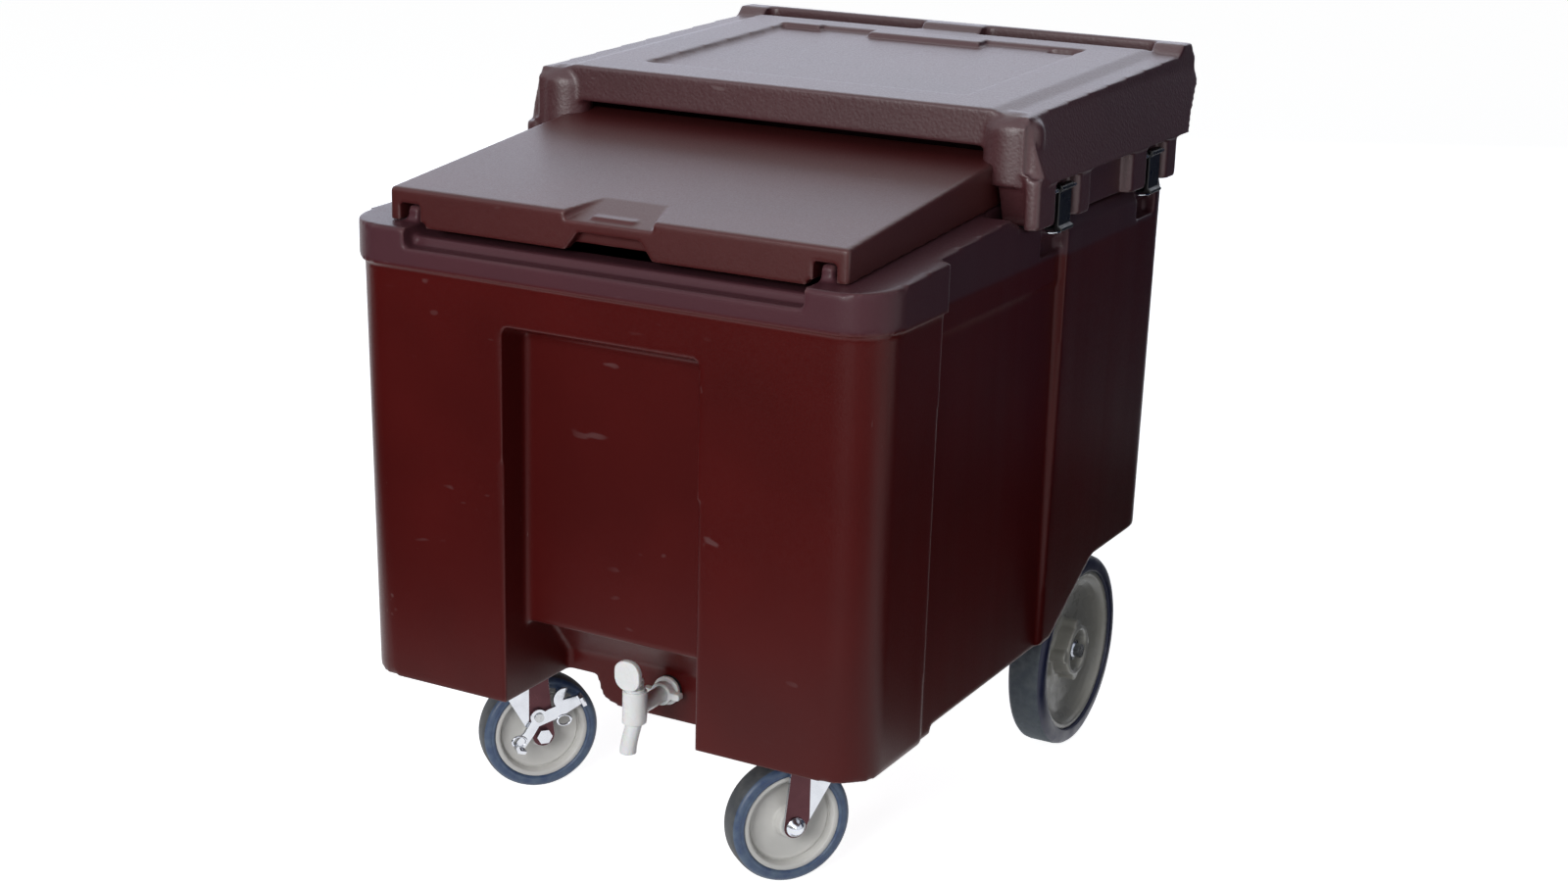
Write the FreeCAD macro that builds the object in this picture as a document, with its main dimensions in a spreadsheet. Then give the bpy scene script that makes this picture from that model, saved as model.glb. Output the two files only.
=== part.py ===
"""Mobile ice bin: a foam-filled moulded tub on two swivel casters and two fixed rear wheels.

The tub is closed by a lid that slides back on two rails, under a hood that latches onto the tub.
A tap in a low sump at the front drains the melt water.
"""
import FreeCAD, Part
import math
import os
import re

import Sketcher

V = FreeCAD.Vector
doc = FreeCAD.newDocument("ice_bin")

# Driving sizes in millimetres, and angles in degrees. Heights are above the floor, depths are
# behind the front face of the tub, and half widths are from the middle plane.
SIZES = {
    # Tub moulding
    "body_half_width": 296, "body_depth": 714, "draft_angle": 0.64, "pillar_bottom": 153,
    "pillar_rear": 166, "front_corner_radius": 45, "rear_corner_radius": 34, "rim_height": 627,
    "rail_slope": 3.8, "rim_proud": 4, "lip_drop": 19, "lip_width": 15, "land_drop": 10,
    "side_recess_front": 137, "side_recess_rear": 425, "side_recess_depth": 10, "seam_step": 2,
    "side_bottom": 160, "skin": 6, "overrun": 20, "edge_slack": 1,
    # Where the hood sits on the tub
    "seat_front": 337, "seat_ramp_front": 294, "shoulder_height": 16, "shoulder_width": 9,
    # Under the tub
    "rear_underside": 225, "skirt_line_front": 452, "skirt_line_rear": 562,
    "well_clearance": 11, "well_side_gap": 5, "bay_front": 520,
    # Recess, sloping throat and drain sump at the front
    "recess_half_width": 111, "recess_depth": 44, "recess_roof_drop": 14, "panel_bottom": 229,
    "recess_corner_radius": 9, "throat_depth": 78, "throat_low": 175, "sump_face": 120,
    "sump_left": 75, "sump_bottom": 123, "sump_rear": 300, "sump_corner_radius": 24,
    # Ice well inside the tub
    "mouth_front": 50, "tub_front": 85, "tub_floor": 190, "tub_floor_rear": 266,
    "tub_slope_top": 262, "tub_slope_rear": 160, "tub_step_front": 412, "tub_step_rear": 470,
    "tub_corner_radius": 30, "pan_half_width": 55, "pan_front": 150, "pan_rear": 262,
    "pan_floor": 137,
    # Sliding lid and its rails
    "lid_front": 19, "lid_length": 346, "lid_height": 33, "lid_top_slope": 6.25, "lid_gap": 0.4,
    "lid_edge_round": 4, "groove_height": 18, "rail_width": 14, "rail_height": 15,
    "rail_start": 24, "rail_round": 4, "fascia_drop": 5, "fascia_thickness": 13,
    "fascia_gap": 1.5, "scoop_front_half": 50, "scoop_back_half": 36, "scoop_length": 52,
    "scoop_depth": 9, "pull_bottom_half": 49, "pull_top_half": 34, "pull_height": 14,
    "pad_half_width": 24, "pad_length": 20, "pad_front": 8, "pad_height": 5, "pad_round": 4,
    # Hood
    "hood_front": 329, "hood_slope": 2.2, "hood_wall": 30, "hood_thickness": 20,
    "hood_crown": 5, "crown_ramp": 30, "hood_rear_thickness": 46, "handle_rise": 11,
    "handle_nose_drop": 17, "hood_corner_radius": 16, "hood_edge_round": 9, "post_front": 322,
    "tray_half_width": 190, "tray_front": 388, "tray_depth": 5, "tray_tab_half": 70,
    "tray_tab_length": 24, "tray_tab_thickness": 3, "side_tab_left": 193, "side_tab_width": 52,
    "side_tab_length": 10, "tray_notch_left": 149, "tray_notch_width": 30,
    "tray_notch_length": 10, "grip_inner": 38, "grip_round": 8,
    # Hood tabs and latches
    "tab_proud": 12, "tab_round": 7, "front_latch_depth": 398, "tab_gap": 26, "wide_tab": 50,
    "narrow_tab": 38, "latch_width": 40, "latch_pin_radius": 2.5, "latch_eye_radius": 5.5,
    "latch_thickness": 5, "latch_length": 58, "latch_nose": 14.5, "latch_nose_height": 4,
    "latch_play": 6, "latch_lip": 4, "pin_clearance": 0.06, "latch_pin_seat": 8,
    "notch_half_length": 26, "notch_depth": 9, "keeper_depth": 16, "keeper_height": 12,
    # Seal under the hood
    "hood_gap": 1.5, "seal_thickness": 4, "seal_width": 14, "seal_inset": 6,
    "seal_rear_inset": 4,
    # Drain shelf
    "shelf_thickness": 5, "shelf_foot": 6, "shelf_gap": 16, "shelf_front": 166,
    "shelf_rear": 404, "slot_length": 60, "slot_width": 8, "slot_pitch_across": 84,
    "slot_pitch_deep": 26, "slot_first_deep": 24, "shelf_corner_radius": 26,
    # Tap, whose pieces across the front wall are measured along the bore
    "tap_offset": 12, "tap_height": 156, "tap_bore_radius": 10, "tap_barrel_radius": 8.6,
    "tap_passage": 5.5, "tap_valve_depth": 54, "tap_flange_radius": 15,
    "tap_flange_thickness": 4, "tap_seal_thickness": 3, "tap_valve_radius": 12.5,
    "tap_valve_top": 177, "tap_valve_bottom": 143, "tap_spout_radius": 8.5, "tap_spout_bore": 6,
    "tap_spout_bottom": 112, "tap_wing_radius": 12, "tap_wing_thickness": 9,
    "tap_wing_half_span": 22, "tap_wing_height": 7, "tap_wing_gap": 2, "tap_nut_radius": 12,
    "tap_nut_thickness": 9, "tap_thread_end": 3, "tap_bonnet_radius": 10.5,
    "tap_bonnet_height": 3.2, "tap_pin_height": 187, "tap_ear_radius": 5, "tap_ear_inner": 5,
    "tap_ear_thickness": 3, "tap_pin_radius": 1.6, "lever_gap": 0.3, "paddle_width": 29,
    "paddle_top": 26, "paddle_bottom": 6, "paddle_reach": 8, "paddle_thickness": 7,
    "paddle_lean": 2, "paddle_corner": 13,
    # Front casters, in their own frame: the swivel axis is the origin, the wheel trails along x
    "caster_depth": 117.5, "caster_wheel_radius": 63.5, "caster_trail": 36,
    "caster_tyre_half": 16, "caster_rim_radius": 50.4, "caster_core_half": 14,
    "caster_rim_depth": 6, "caster_hub_radius": 15, "caster_hub_half": 17.5,
    "caster_web_half": 3, "caster_bush_radius": 8, "caster_bush_half": 18.5,
    "caster_axle_radius": 5, "caster_plate_long": 100, "caster_plate_wide": 84,
    "caster_plate_thickness": 4, "caster_plate_radius": 10, "caster_hole_long": 76,
    "caster_hole_wide": 60, "caster_bolt_radius": 4, "caster_bolt_length": 22,
    "caster_bolt_head": 6.5, "caster_bolt_head_height": 5, "race_radius": 27, "race_height": 10,
    "fork_thickness": 3.5, "fork_inner_half": 19, "fork_crown_radius": 30,
    "fork_foot_radius": 12, "fork_front": 20, "fork_back": 40, "kingpin_radius": 6,
    "kingpin_head": 10, "kingpin_head_height": 4, "axle_head_radius": 8.5,
    "axle_head_height": 5.5, "tyre_round": 5, "right_trail_angle": 231.7,
    "left_trail_angle": 49.8, "part_gap": 0.3,
    # Brake on the left caster
    "brake_pin_radius": 3, "brake_pin_along": 30, "brake_pin_height": 86, "brake_thickness": 4,
    "brake_eye_radius": 9, "brake_reach": 50, "brake_hook_radius": 12, "brake_pad_radius": 4,
    "brake_pad_gap": 1, "brake_pedal_width": 10, "brake_pin_head": 5,
    # Rear wheels and axle, measured from the middle of the wheel
    "rear_wheel_radius": 108, "rear_tyre_half": 21, "rear_rim_radius": 91, "rear_rim_depth": 7,
    "rear_core_half": 18, "rear_hub_radius": 21, "rear_hub_half": 26, "rear_web_half": 3,
    "rear_dish": 5, "rear_bush_radius": 12, "bush_stand": 0.5, "rear_cup_radius": 24,
    "rear_cup_top": 20, "rear_hollow_radius": 18, "rear_seat": 4, "rear_axle_radius": 8,
    "rear_tyre_round": 8, "hub_lobe_radius": 12, "hub_lobe_place": 28, "hub_lobe_height": 20,
    "axle_clearance": 0.06, "bracket_thickness": 5, "bracket_width": 60,
    "bracket_foot_width": 44, "bracket_foot_radius": 20, "bracket_bolt_radius": 4,
    "bracket_bolt_length": 18, "bracket_bolt_head": 6.5, "bracket_bolt_head_height": 5,
    "bracket_bolt_spacing": 36, "washer_radius": 14, "washer_thickness": 2.5,
    "axle_nut_radius": 12, "axle_nut_height": 8, "axle_end": 8,
    # Distances that other sizes keep to the rim, the seat, the sides and the rear
    "seat_rise": 3, "band_drop": 39, "ledge_drop": 27, "seam_drop": 65, "recess_top_drop": 83,
    "hood_rise": 112, "flare_rise": 46, "handle_low_rise": 64, "fascia_rise": 79,
    "post_rise": 56, "post_foot_rise": 10, "tab_clearance": 2, "latch_pin_rise": 34,
    "notch_drop": 36, "tub_wall": 52, "lid_inset": 42, "groove_edge": 12, "groove_width": 24,
    "rail_gap": 5, "mouth_margin": 5, "lip_margin": 4, "wheel_inset": 15, "well_width": 51,
    "bracket_inset": 100, "bay_margin": 9, "caster_inset": 105, "hood_top_inset": 10,
    "hood_flare": 10, "hood_wall_inset": 4, "crown_inset": 40, "lid_side_gap": 4,
    "grip_inset": 36, "latch_pin_out": 3, "tub_rear_wall": 38, "rear_wall": 24,
    "hood_overhang": 24, "handle_lead": 8, "handle_reach": 58, "handle_top_lead": 20,
    "handle_top_reach": 44, "handle_low_lead": 19, "grip_lead": 3, "grip_reach": 33,
    "tray_rear_margin": 36, "rear_latch_inset": 68, "rear_axle_inset": 149, "shoulder_lead": 20,
    "tab_root": 3,
}

# Sizes that follow from others, so that the pieces keep together when one of those changes.
DERIVED = {
    "seat_height": "rim_height + seat_rise",
    "band_bottom": "rim_height - band_drop",
    "ledge_height": "rim_height - ledge_drop",
    "seam_height": "rim_height - seam_drop",
    "recess_top": "rim_height - recess_top_drop",
    "hood_top": "seat_height + hood_rise",
    "hood_flare_bottom": "seat_height + flare_rise",
    "handle_low": "seat_height + handle_low_rise",
    "fascia_bottom": "seat_height + fascia_rise",
    "post_bottom": "seat_height + post_rise",
    "post_foot": "seat_height + post_foot_rise",
    "tab_bottom": "seat_height + tab_clearance",
    "latch_pin_height": "seat_height + latch_pin_rise",
    "notch_low": "seat_height - notch_drop",
    "tub_half_width": "body_half_width - tub_wall",
    "lid_half_width": "body_half_width - lid_inset",
    "rail_wall_half_width": "lid_half_width",
    "groove_outer": "lid_half_width - groove_edge",
    "groove_inner": "groove_outer - groove_width",
    "rail_inner": "groove_inner + rail_gap",
    "mouth_half_width": "groove_inner - mouth_margin",
    "lip_half_width": "groove_inner + lip_margin",
    "rear_wheel_face": "body_half_width - wheel_inset",
    "well_inner": "rear_wheel_face - well_width",
    "bracket_inner": "body_half_width - bracket_inset",
    "bay_half_width": "bracket_inner + bay_margin",
    "caster_half_spacing": "body_half_width - caster_inset",
    "hood_top_half": "body_half_width - hood_top_inset",
    "hood_flare_half": "body_half_width + hood_flare",
    "hood_wall_half": "body_half_width - hood_wall_inset",
    "crown_half": "hood_top_half - crown_inset",
    "opening_half": "lid_half_width + lid_side_gap",
    "grip_outer": "hood_top_half - grip_inset",
    "latch_pin_depth": "body_half_width + latch_pin_out",
    "tub_rear": "body_depth - tub_rear_wall",
    "rear_wall_front": "body_depth - rear_wall",
    "hood_rear_wall": "body_depth + hood_overhang",
    "handle_front": "hood_rear_wall + handle_lead",
    "handle_rear": "hood_rear_wall + handle_reach",
    "handle_top_front": "hood_rear_wall + handle_top_lead",
    "handle_top_rear": "hood_rear_wall + handle_top_reach",
    "handle_low_depth": "hood_rear_wall + handle_low_lead",
    "grip_front": "hood_rear_wall + grip_lead",
    "grip_rear": "hood_rear_wall + grip_reach",
    "tray_rear": "hood_rear_wall - tray_rear_margin",
    "rear_latch_depth": "body_depth - rear_latch_inset",
    "rear_axle_depth": "body_depth - rear_axle_inset",
}

sizes = doc.addObject("Spreadsheet::Sheet", "sizes")
ROWS = {**SIZES, **DERIVED}
for row, name in enumerate(ROWS, start=1):
    sizes.set(f"A{row}", name)
    sizes.setAlias(f"B{row}", name)
for row, (name, value) in enumerate(ROWS.items(), start=1):
    sizes.set(f"B{row}", f"={value}")
doc.recompute()


def size(name):
    """The sheet's value for one driving size."""
    return float(sizes.get(name))


def cells(text):
    """An expression in size names, written out with the sheet's name."""
    return re.sub(r"[a-z_]{3,}", lambda m: "sizes." + m[0] if m[0] in ROWS else m[0], text)


def bind(thing, path, text):
    thing.setExpression(path, cells(text))


# Places that many pieces share.
MIDDLE = "(rim_proud - handle_rear) / 2"
RIM = "rim_height + ({0}) * tan(rail_slope)"
HOOD = "hood_top + (({0}) - hood_front) * tan(hood_slope)"
LID_TOP = "rim_height + lid_front * tan(rail_slope) + lid_height + (({0}) - lid_front) * tan(lid_top_slope)"
PLANES = {"XY": (1, "z"), "XZ": (-1, "y"), "YZ": (1, "x")}
exports = []


def new_body(label):
    body = doc.addObject("PartDesign::Body", label)
    body.Label = label
    return body


def place(piece, across="0", deep="0", high="0", turn=None):
    """Set a sub-part down in the part's frame, behind the front face by its depth."""
    if turn:
        piece.Placement = FreeCAD.Placement(V(0, 0, 0), FreeCAD.Rotation(V(0, 0, 1), 1))
        bind(piece, "Placement.Rotation.Angle", turn)
    bind(piece, "Placement.Base.x", across)
    bind(piece, "Placement.Base.y", f"{MIDDLE} + {deep}")
    bind(piece, "Placement.Base.z", high)
    exports.append(piece)


def corner(index, count):
    """A start for an outline's corner, before its constraints place it."""
    turn = 2 * math.pi * index / count
    return V(math.cos(turn), math.sin(turn), 0) * size("overrun")


def sketch(body, plane, loops, at="0"):
    """A sketch on one of the body's origin planes, moved along the plane's axis."""
    drawing = body.newObject("Sketcher::SketchObject", body.Name + "_sketch")
    base = [f for f in body.Origin.OriginFeatures if f.Role == plane + "_Plane"][0]
    drawing.AttachmentSupport = [(base, "")]
    drawing.MapMode = "FlatFace"
    bind(drawing, "AttachmentOffset.Base.z", f"{PLANES[plane][0]} * ({at})")
    lines, rules, places = [], [], []
    for loop in loops:
        first = len(lines)
        if isinstance(loop, tuple):
            centre_u, centre_v, radius = loop
            lines.append(Part.Circle(V(0, 0, 0), V(0, 0, 1), size("overrun")))
            rules.append(rule(f"radius{first}", "Radius", first, size("overrun")))
            places += [(f"radius{first}", radius), (f"x{first}", centre_u), (f"y{first}", centre_v)]
            rules += held(first, 3)
            continue
        count = len(loop)
        for index, (u, v) in enumerate(loop):
            lines.append(Part.LineSegment(corner(index, count), corner(index + 1, count)))
            following = first + (index + 1) % count
            rules.append(rule(f"join{first + index}", "Coincident", first + index, 2, following, 1))
            rules += held(first + index, 1)
            places += [(f"x{first + index}", u), (f"y{first + index}", v)]
    drawing.addGeometry(lines, False)
    drawing.addConstraint(rules)
    for name, text in places:
        bind(drawing, "Constraints." + name, text)
    return drawing


def rule(name, *parts):
    constraint = Sketcher.Constraint(*parts)
    constraint.Name = name
    return constraint


def held(geometry, point):
    """Hold one point of a sketch at distances from its origin, which the sizes then set."""
    start = size("overrun")
    return [rule(f"x{geometry}", "DistanceX", -1, 1, geometry, point, start),
            rule(f"y{geometry}", "DistanceY", -1, 1, geometry, point, start)]


def box(u_low, u_high, v_low, v_high):
    return [(u_low, v_low), (u_high, v_low), (u_high, v_high), (u_low, v_high)]


def flip(loop):
    """The same outline on the other side of the middle plane."""
    if isinstance(loop, tuple):
        return (f"-({loop[0]})",) + loop[1:]
    return [(f"-({u})", v) for u, v in loop]


def extrude(kind, body, plane, loops, at, length, toward, **options):
    drawing = sketch(body, plane, loops, at)
    before = body.Shape.Volume if body.Tip else 0
    feature = body.newObject("PartDesign::" + kind, body.Name + "_" + kind.lower())
    feature.Profile = drawing
    bind(feature, "Length", length)
    if toward == 0:
        feature.Midplane = True
    else:
        along = PLANES[plane][0] * toward
        feature.Reversed = (along < 0) if kind == "Pad" else (along > 0)
    for key, value in options.items():
        setattr(feature, key, value)
    doc.recompute()
    change = body.Shape.Volume - before
    if not feature.isValid() or (change <= 0 if kind == "Pad" else change >= 0):
        raise RuntimeError(f"{body.Label}: {feature.Name} did not change the solid as it should")
    return feature


def pad(body, plane, loops, at, length, toward=1, **options):
    return extrude("Pad", body, plane, loops, at, length, toward, **options)


def cut(body, plane, loops, at, length, toward=1, **options):
    return extrude("Pocket", body, plane, loops, at, length, toward, **options)


def block(name, plane, loops, at, length, toward=1, **options):
    """A body of one extruded outline, to be joined to another or cut from it."""
    body = new_body(name)
    pad(body, plane, loops, at, length, toward, **options)
    return body


def carved(name, base, tools):
    """The base with all the tools cut from it at once."""
    cutter = doc.addObject("Part::MultiFuse", name + "_tools")
    cutter.Shapes = tools
    cutter.Refine = False
    result = doc.addObject("Part::Cut", name)
    result.Base = base
    result.Tool = cutter
    doc.recompute()
    return result


def joined(name, pieces):
    result = doc.addObject("Part::MultiFuse", name)
    result.Shapes = pieces
    result.Refine = False
    doc.recompute()
    return result


SPIN = {"x": ("XY", "H_Axis"), "y": ("XY", "V_Axis"), "z": ("XZ", "V_Axis")}


def turned(label, axis, outline):
    """A turned piece: an outline of radii and places along its axis, spun about that axis."""
    body = new_body(label)
    plane, sketch_axis = SPIN[axis]
    loop = [(along, radius) if axis == "x" else (radius, along) for radius, along in outline]
    drawing = sketch(body, plane, [loop])
    feature = body.newObject("PartDesign::Revolution", body.Name + "_turned")
    feature.Profile = drawing
    feature.ReferenceAxis = (drawing, [sketch_axis])
    doc.recompute()
    return body


def ring(label, axis, inner, outer, low, high):
    return turned(label, axis, [(inner, low), (outer, low), (outer, high), (inner, high)])


def hexagon(radius, u="0", v="0"):
    return [(f"{u} + {radius} * cos({angle})", f"{v} + {radius} * sin({angle})")
            for angle in range(0, 360, 60)]


def round_edges(body, radius, wanted):
    """Fillet the edges of the body's tip that the test picks out."""
    shape = body.Tip.Shape
    names = [f"Edge{i}" for i, edge in enumerate(shape.Edges, start=1) if wanted(edge)]
    if not names:
        raise RuntimeError(f"{body.Label}: no edge to round")
    tip = body.Tip
    feature = body.newObject("PartDesign::Fillet", body.Name + "_fillet")
    feature.Base = (tip, names)
    bind(feature, "Radius", radius)
    doc.recompute()
    if not feature.isValid():
        raise RuntimeError(f"{body.Label}: {feature.Name} failed")
    return feature


NEARLY_STRAIGHT = 0.97


def along(edge, axis):
    """Whether a straight edge runs along an axis, or nearly so."""
    if len(edge.Vertexes) < 2:
        return False
    span = edge.Vertexes[-1].Point - edge.Vertexes[0].Point
    return abs(getattr(span, axis)) > NEARLY_STRAIGHT * edge.Length


def near(value, target):
    return abs(value - target) <= size("edge_slack")


def middle(edge):
    return edge.valueAt((edge.FirstParameter + edge.LastParameter) / 2)


def rim_at(depth):
    return "(" + RIM.format(depth) + ")"


def hood_at(depth):
    return "(" + HOOD.format(depth) + ")"


def lid_top_at(depth):
    return "(" + LID_TOP.format(depth) + ")"


ABOVE = rim_at("body_depth + overrun") + " + handle_rise + overrun"
BELOW = "sump_bottom - overrun"
AXLE_HIGH = "rear_wheel_radius"


def insert_places():
    """Where the caster bolts screw into the tub, as offsets across and deep."""
    return [(f"{side} * caster_half_spacing + {across} * caster_hole_long / 2",
             f"caster_depth + {deep} * caster_hole_wide / 2")
            for side in (-1, 1) for across in (-1, 1) for deep in (-1, 1)]


def bracket_places():
    return [(f"{side} * (bracket_inner - bracket_foot_width / 2)",
             f"rear_axle_depth + {deep} * bracket_bolt_spacing / 2")
            for side in (-1, 1) for deep in (-1, 1)]


def tub_block():
    """The tub before anything is cut from it: a drafted block, its rim band and its sump."""
    body = new_body("tub_block")
    top = rim_at("body_depth")
    pad(body, "XY", [box("-body_half_width", "body_half_width", "0", "body_depth")], top,
        f"{top} - pillar_bottom", -1, TaperAngle=-size("draft_angle"))
    half = size("body_half_width") / 2
    round_edges(body, "front_corner_radius",
                lambda e: along(e, "z") and abs(middle(e).x) > half and middle(e).y < half)
    round_edges(body, "rear_corner_radius",
                lambda e: along(e, "z") and abs(middle(e).x) > half and middle(e).y > half)
    wide = "body_half_width + rim_proud"
    pad(body, "XY", [box(f"-({wide})", wide, "-rim_proud", "side_recess_front")], "band_bottom",
        f"{top} - band_bottom")
    front = -size("rim_proud")
    round_edges(body, "front_corner_radius + rim_proud",
                lambda e: along(e, "z") and near(middle(e).y, front) and abs(middle(e).x) > half)
    return body


def sump_block():
    body = block("sump_block", "XZ",
                 [box("-sump_left", "recess_half_width", "sump_bottom", "throat_low")],
                 "sump_face", "sump_rear - sump_face")
    low = size("sump_bottom")
    round_edges(body, "sump_corner_radius",
                lambda e: along(e, "y") and near(middle(e).z, low) and middle(e).x < 0)
    return body


def both(name, plane, loop, at, length):
    """Two tools from one outline in a side view, one each side of the middle plane."""
    return [block(f"{name}_{side}", plane, [loop], f"{toward} * ({at})", length, toward)
            for side, toward in (("right", 1), ("left", -1))]


def side_panels():
    """Shallow panel in each side, in two steps that leave a fine line under the rim."""
    inner = "body_half_width - side_recess_depth"
    outer = "body_half_width + rim_proud + overrun"
    upper = box(f"{inner} + seam_step", outer, "side_recess_front", "side_recess_rear")
    lower = box(inner, outer, "side_recess_front", "side_recess_rear")
    return [block("upper_panels", "XY", [upper, flip(upper)], "seam_height", f"{ABOVE} - seam_height"),
            block("lower_panels", "XY", [lower, flip(lower)], BELOW, f"seam_height - ({BELOW})")]


def underside():
    """Level underside, rising over the rear wheels, with a well round each of them."""
    behind = "body_depth + overrun"
    under = [("pillar_rear", BELOW), ("pillar_rear", "side_bottom"),
             ("skirt_line_front", "side_bottom"), ("skirt_line_rear", "rear_underside"),
             (behind, "rear_underside"), (behind, BELOW)]
    well = ("rear_axle_depth", AXLE_HIGH, "rear_wheel_radius + well_clearance")
    bay = box("bay_front", behind, BELOW, "rear_underside")
    return [block("underside", "YZ", [under], "0", "body_half_width * 4", 0),
            block("axle_bay", "YZ", [bay], "0", "bay_half_width * 2", 0)] + both(
        "wheel_well", "YZ", well, "well_inner", "rear_wheel_face + well_side_gap - well_inner")


def front_recess():
    """Recess in the front with its roof falling inwards, and the throat under its panel."""
    side = [("-overrun", BELOW), ("-overrun", "recess_top"), ("0", "recess_top"),
            ("recess_depth", "recess_top - recess_roof_drop"), ("recess_depth", "panel_bottom"),
            ("throat_depth", "panel_bottom"), ("sump_face", "throat_low"), ("sump_face", BELOW)]
    body = block("front_recess", "YZ", [side], "0", "recess_half_width * 2", 0)
    edge = size("recess_half_width")
    roof = size("recess_top") - size("recess_roof_drop")
    round_edges(body, "recess_corner_radius",
                lambda e: near(abs(middle(e).x), edge) and middle(e).z > roof and along(e, "y"))
    return body


def rim_shape():
    """Sloping rim for the lid, the hood's level seat behind it and the low front lip."""
    behind = "body_depth + overrun"
    slope = [("-overrun", rim_at("-overrun")), (behind, rim_at(behind)), (behind, ABOVE),
             ("-overrun", ABOVE)]
    seat = [("seat_ramp_front", rim_at("seat_ramp_front")), ("seat_front", "seat_height"),
            (behind, "seat_height"), (behind, ABOVE), ("seat_ramp_front", ABOVE)]
    lip = [("-overrun", "rim_height - lip_drop"), ("lip_width", "rim_height - lip_drop"),
           ("lip_width", "rim_height - land_drop"), ("mouth_front", "rim_height - land_drop"),
           ("mouth_front", ABOVE), ("-overrun", ABOVE)]
    shoulder = [("body_half_width - shoulder_width", "seat_height"),
                ("body_half_width - shoulder_width", "seat_height + overrun"),
                ("body_half_width + overrun", "seat_height + overrun"),
                ("body_half_width + overrun", "seat_height - shoulder_height"),
                ("body_half_width", "seat_height - shoulder_height")]
    return both("hood_seat", "YZ", seat, "rail_wall_half_width", "body_half_width") + [
        block("rim_slope", "YZ", [slope], "0", "body_half_width * 4", 0),
        block("rear_seat", "YZ", [box("rear_wall_front", behind, "seat_height", ABOVE)], "0",
              "body_half_width * 4", 0),
        block("front_lip", "YZ", [lip], "0", "lip_half_width * 2", 0),
        block("shoulders", "XZ", [shoulder, flip(shoulder)], "seat_front - shoulder_lead",
              "body_depth")]


def latch_notches():
    """Notches in the shoulder, each with a keeper for a latch's hook."""
    tools = []
    for name in ("front", "rear"):
        span = f"{name}_latch_depth - notch_half_length"
        outer = box("body_half_width - notch_depth", "body_half_width + overrun", "notch_low",
                    "seat_height + overrun")
        hook = box("body_half_width - keeper_depth", "body_half_width", "notch_low",
                   "notch_low + keeper_height + latch_play")
        for kind, loop in (("notch", outer), ("keeper", hook)):
            tools.append(block(f"{name}_{kind}s", "XZ", [loop, flip(loop)], span,
                               "notch_half_length * 2"))
    return tools


def ice_well():
    """A narrower mouth over a wide well whose floor falls to the drain pan and the tap's bore."""
    mouth = block("mouth", "XY", [box("-mouth_half_width", "mouth_half_width", "mouth_front",
                                      "tub_rear")], "ledge_height", f"{ABOVE} - ledge_height")
    side = [("tub_front", "ledge_height"), ("tub_front", "tub_slope_top"),
            ("tub_slope_rear", "tub_floor"), ("tub_step_front", "tub_floor"),
            ("tub_step_rear", "tub_floor_rear"), ("tub_rear", "tub_floor_rear"),
            ("tub_rear", "ledge_height")]
    well = block("well", "YZ", [side], "0", "tub_half_width * 2", 0)
    wall = size("tub_half_width")
    ledge = size("ledge_height")
    round_edges(well, "tub_corner_radius",
                lambda e: near(abs(middle(e).x), wall) and not near(middle(e).z, ledge))
    pan = block("drain_pan", "XY", [box("tap_offset - pan_half_width", "tap_offset + pan_half_width",
                                        "pan_front", "pan_rear")], "pan_floor",
                "tub_floor - pan_floor + overrun")
    bore = block("tap_bore", "XZ", [("tap_offset", "tap_height", "tap_bore_radius")],
                 "sump_face - overrun", "pan_front - sump_face + 2 * overrun")
    return [mouth, well, pan, bore]


def bolt_holes():
    caster_holes = [(u, v, "caster_bolt_radius") for u, v in insert_places()]
    bracket_holes = [(u, v, "bracket_bolt_radius") for u, v in bracket_places()]
    return [block("caster_holes", "XY", caster_holes, "pillar_bottom - overrun",
                  "overrun + caster_bolt_length"),
            block("bracket_holes", "XY", bracket_holes, "rear_underside - overrun",
                  "overrun + bracket_bolt_length")]


def lid_rails():
    rail = [("rail_start", rim_at("rail_start") + " - rail_height"),
            ("rail_start", rim_at("rail_start") + " + rail_height"),
            ("rear_wall_front", rim_at("rear_wall_front") + " + rail_height"),
            ("rear_wall_front", rim_at("rear_wall_front") + " - rail_height")]
    rails = both("lid_rail", "YZ", rail, "rail_inner", "rail_width")
    for body in rails:
        high = size("rim_height") + size("rail_height") / 2
        round_edges(body, "rail_round", lambda e: middle(e).z > high and not along(e, "z"))
    return rails


def body_shell():
    """The tub's moulding: one double-walled piece, solid here where the real one holds its foam."""
    outside = carved("tub_outside", tub_block(),
                     side_panels() + underside() + [front_recess()] + rim_shape())
    outer = joined("tub_outer", [outside, sump_block()])
    shell = carved("tub_carved", outer, latch_notches() + ice_well() + bolt_holes())
    return joined("body_shell", [shell] + lid_rails())


SLOT_ROWS = 8


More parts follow.
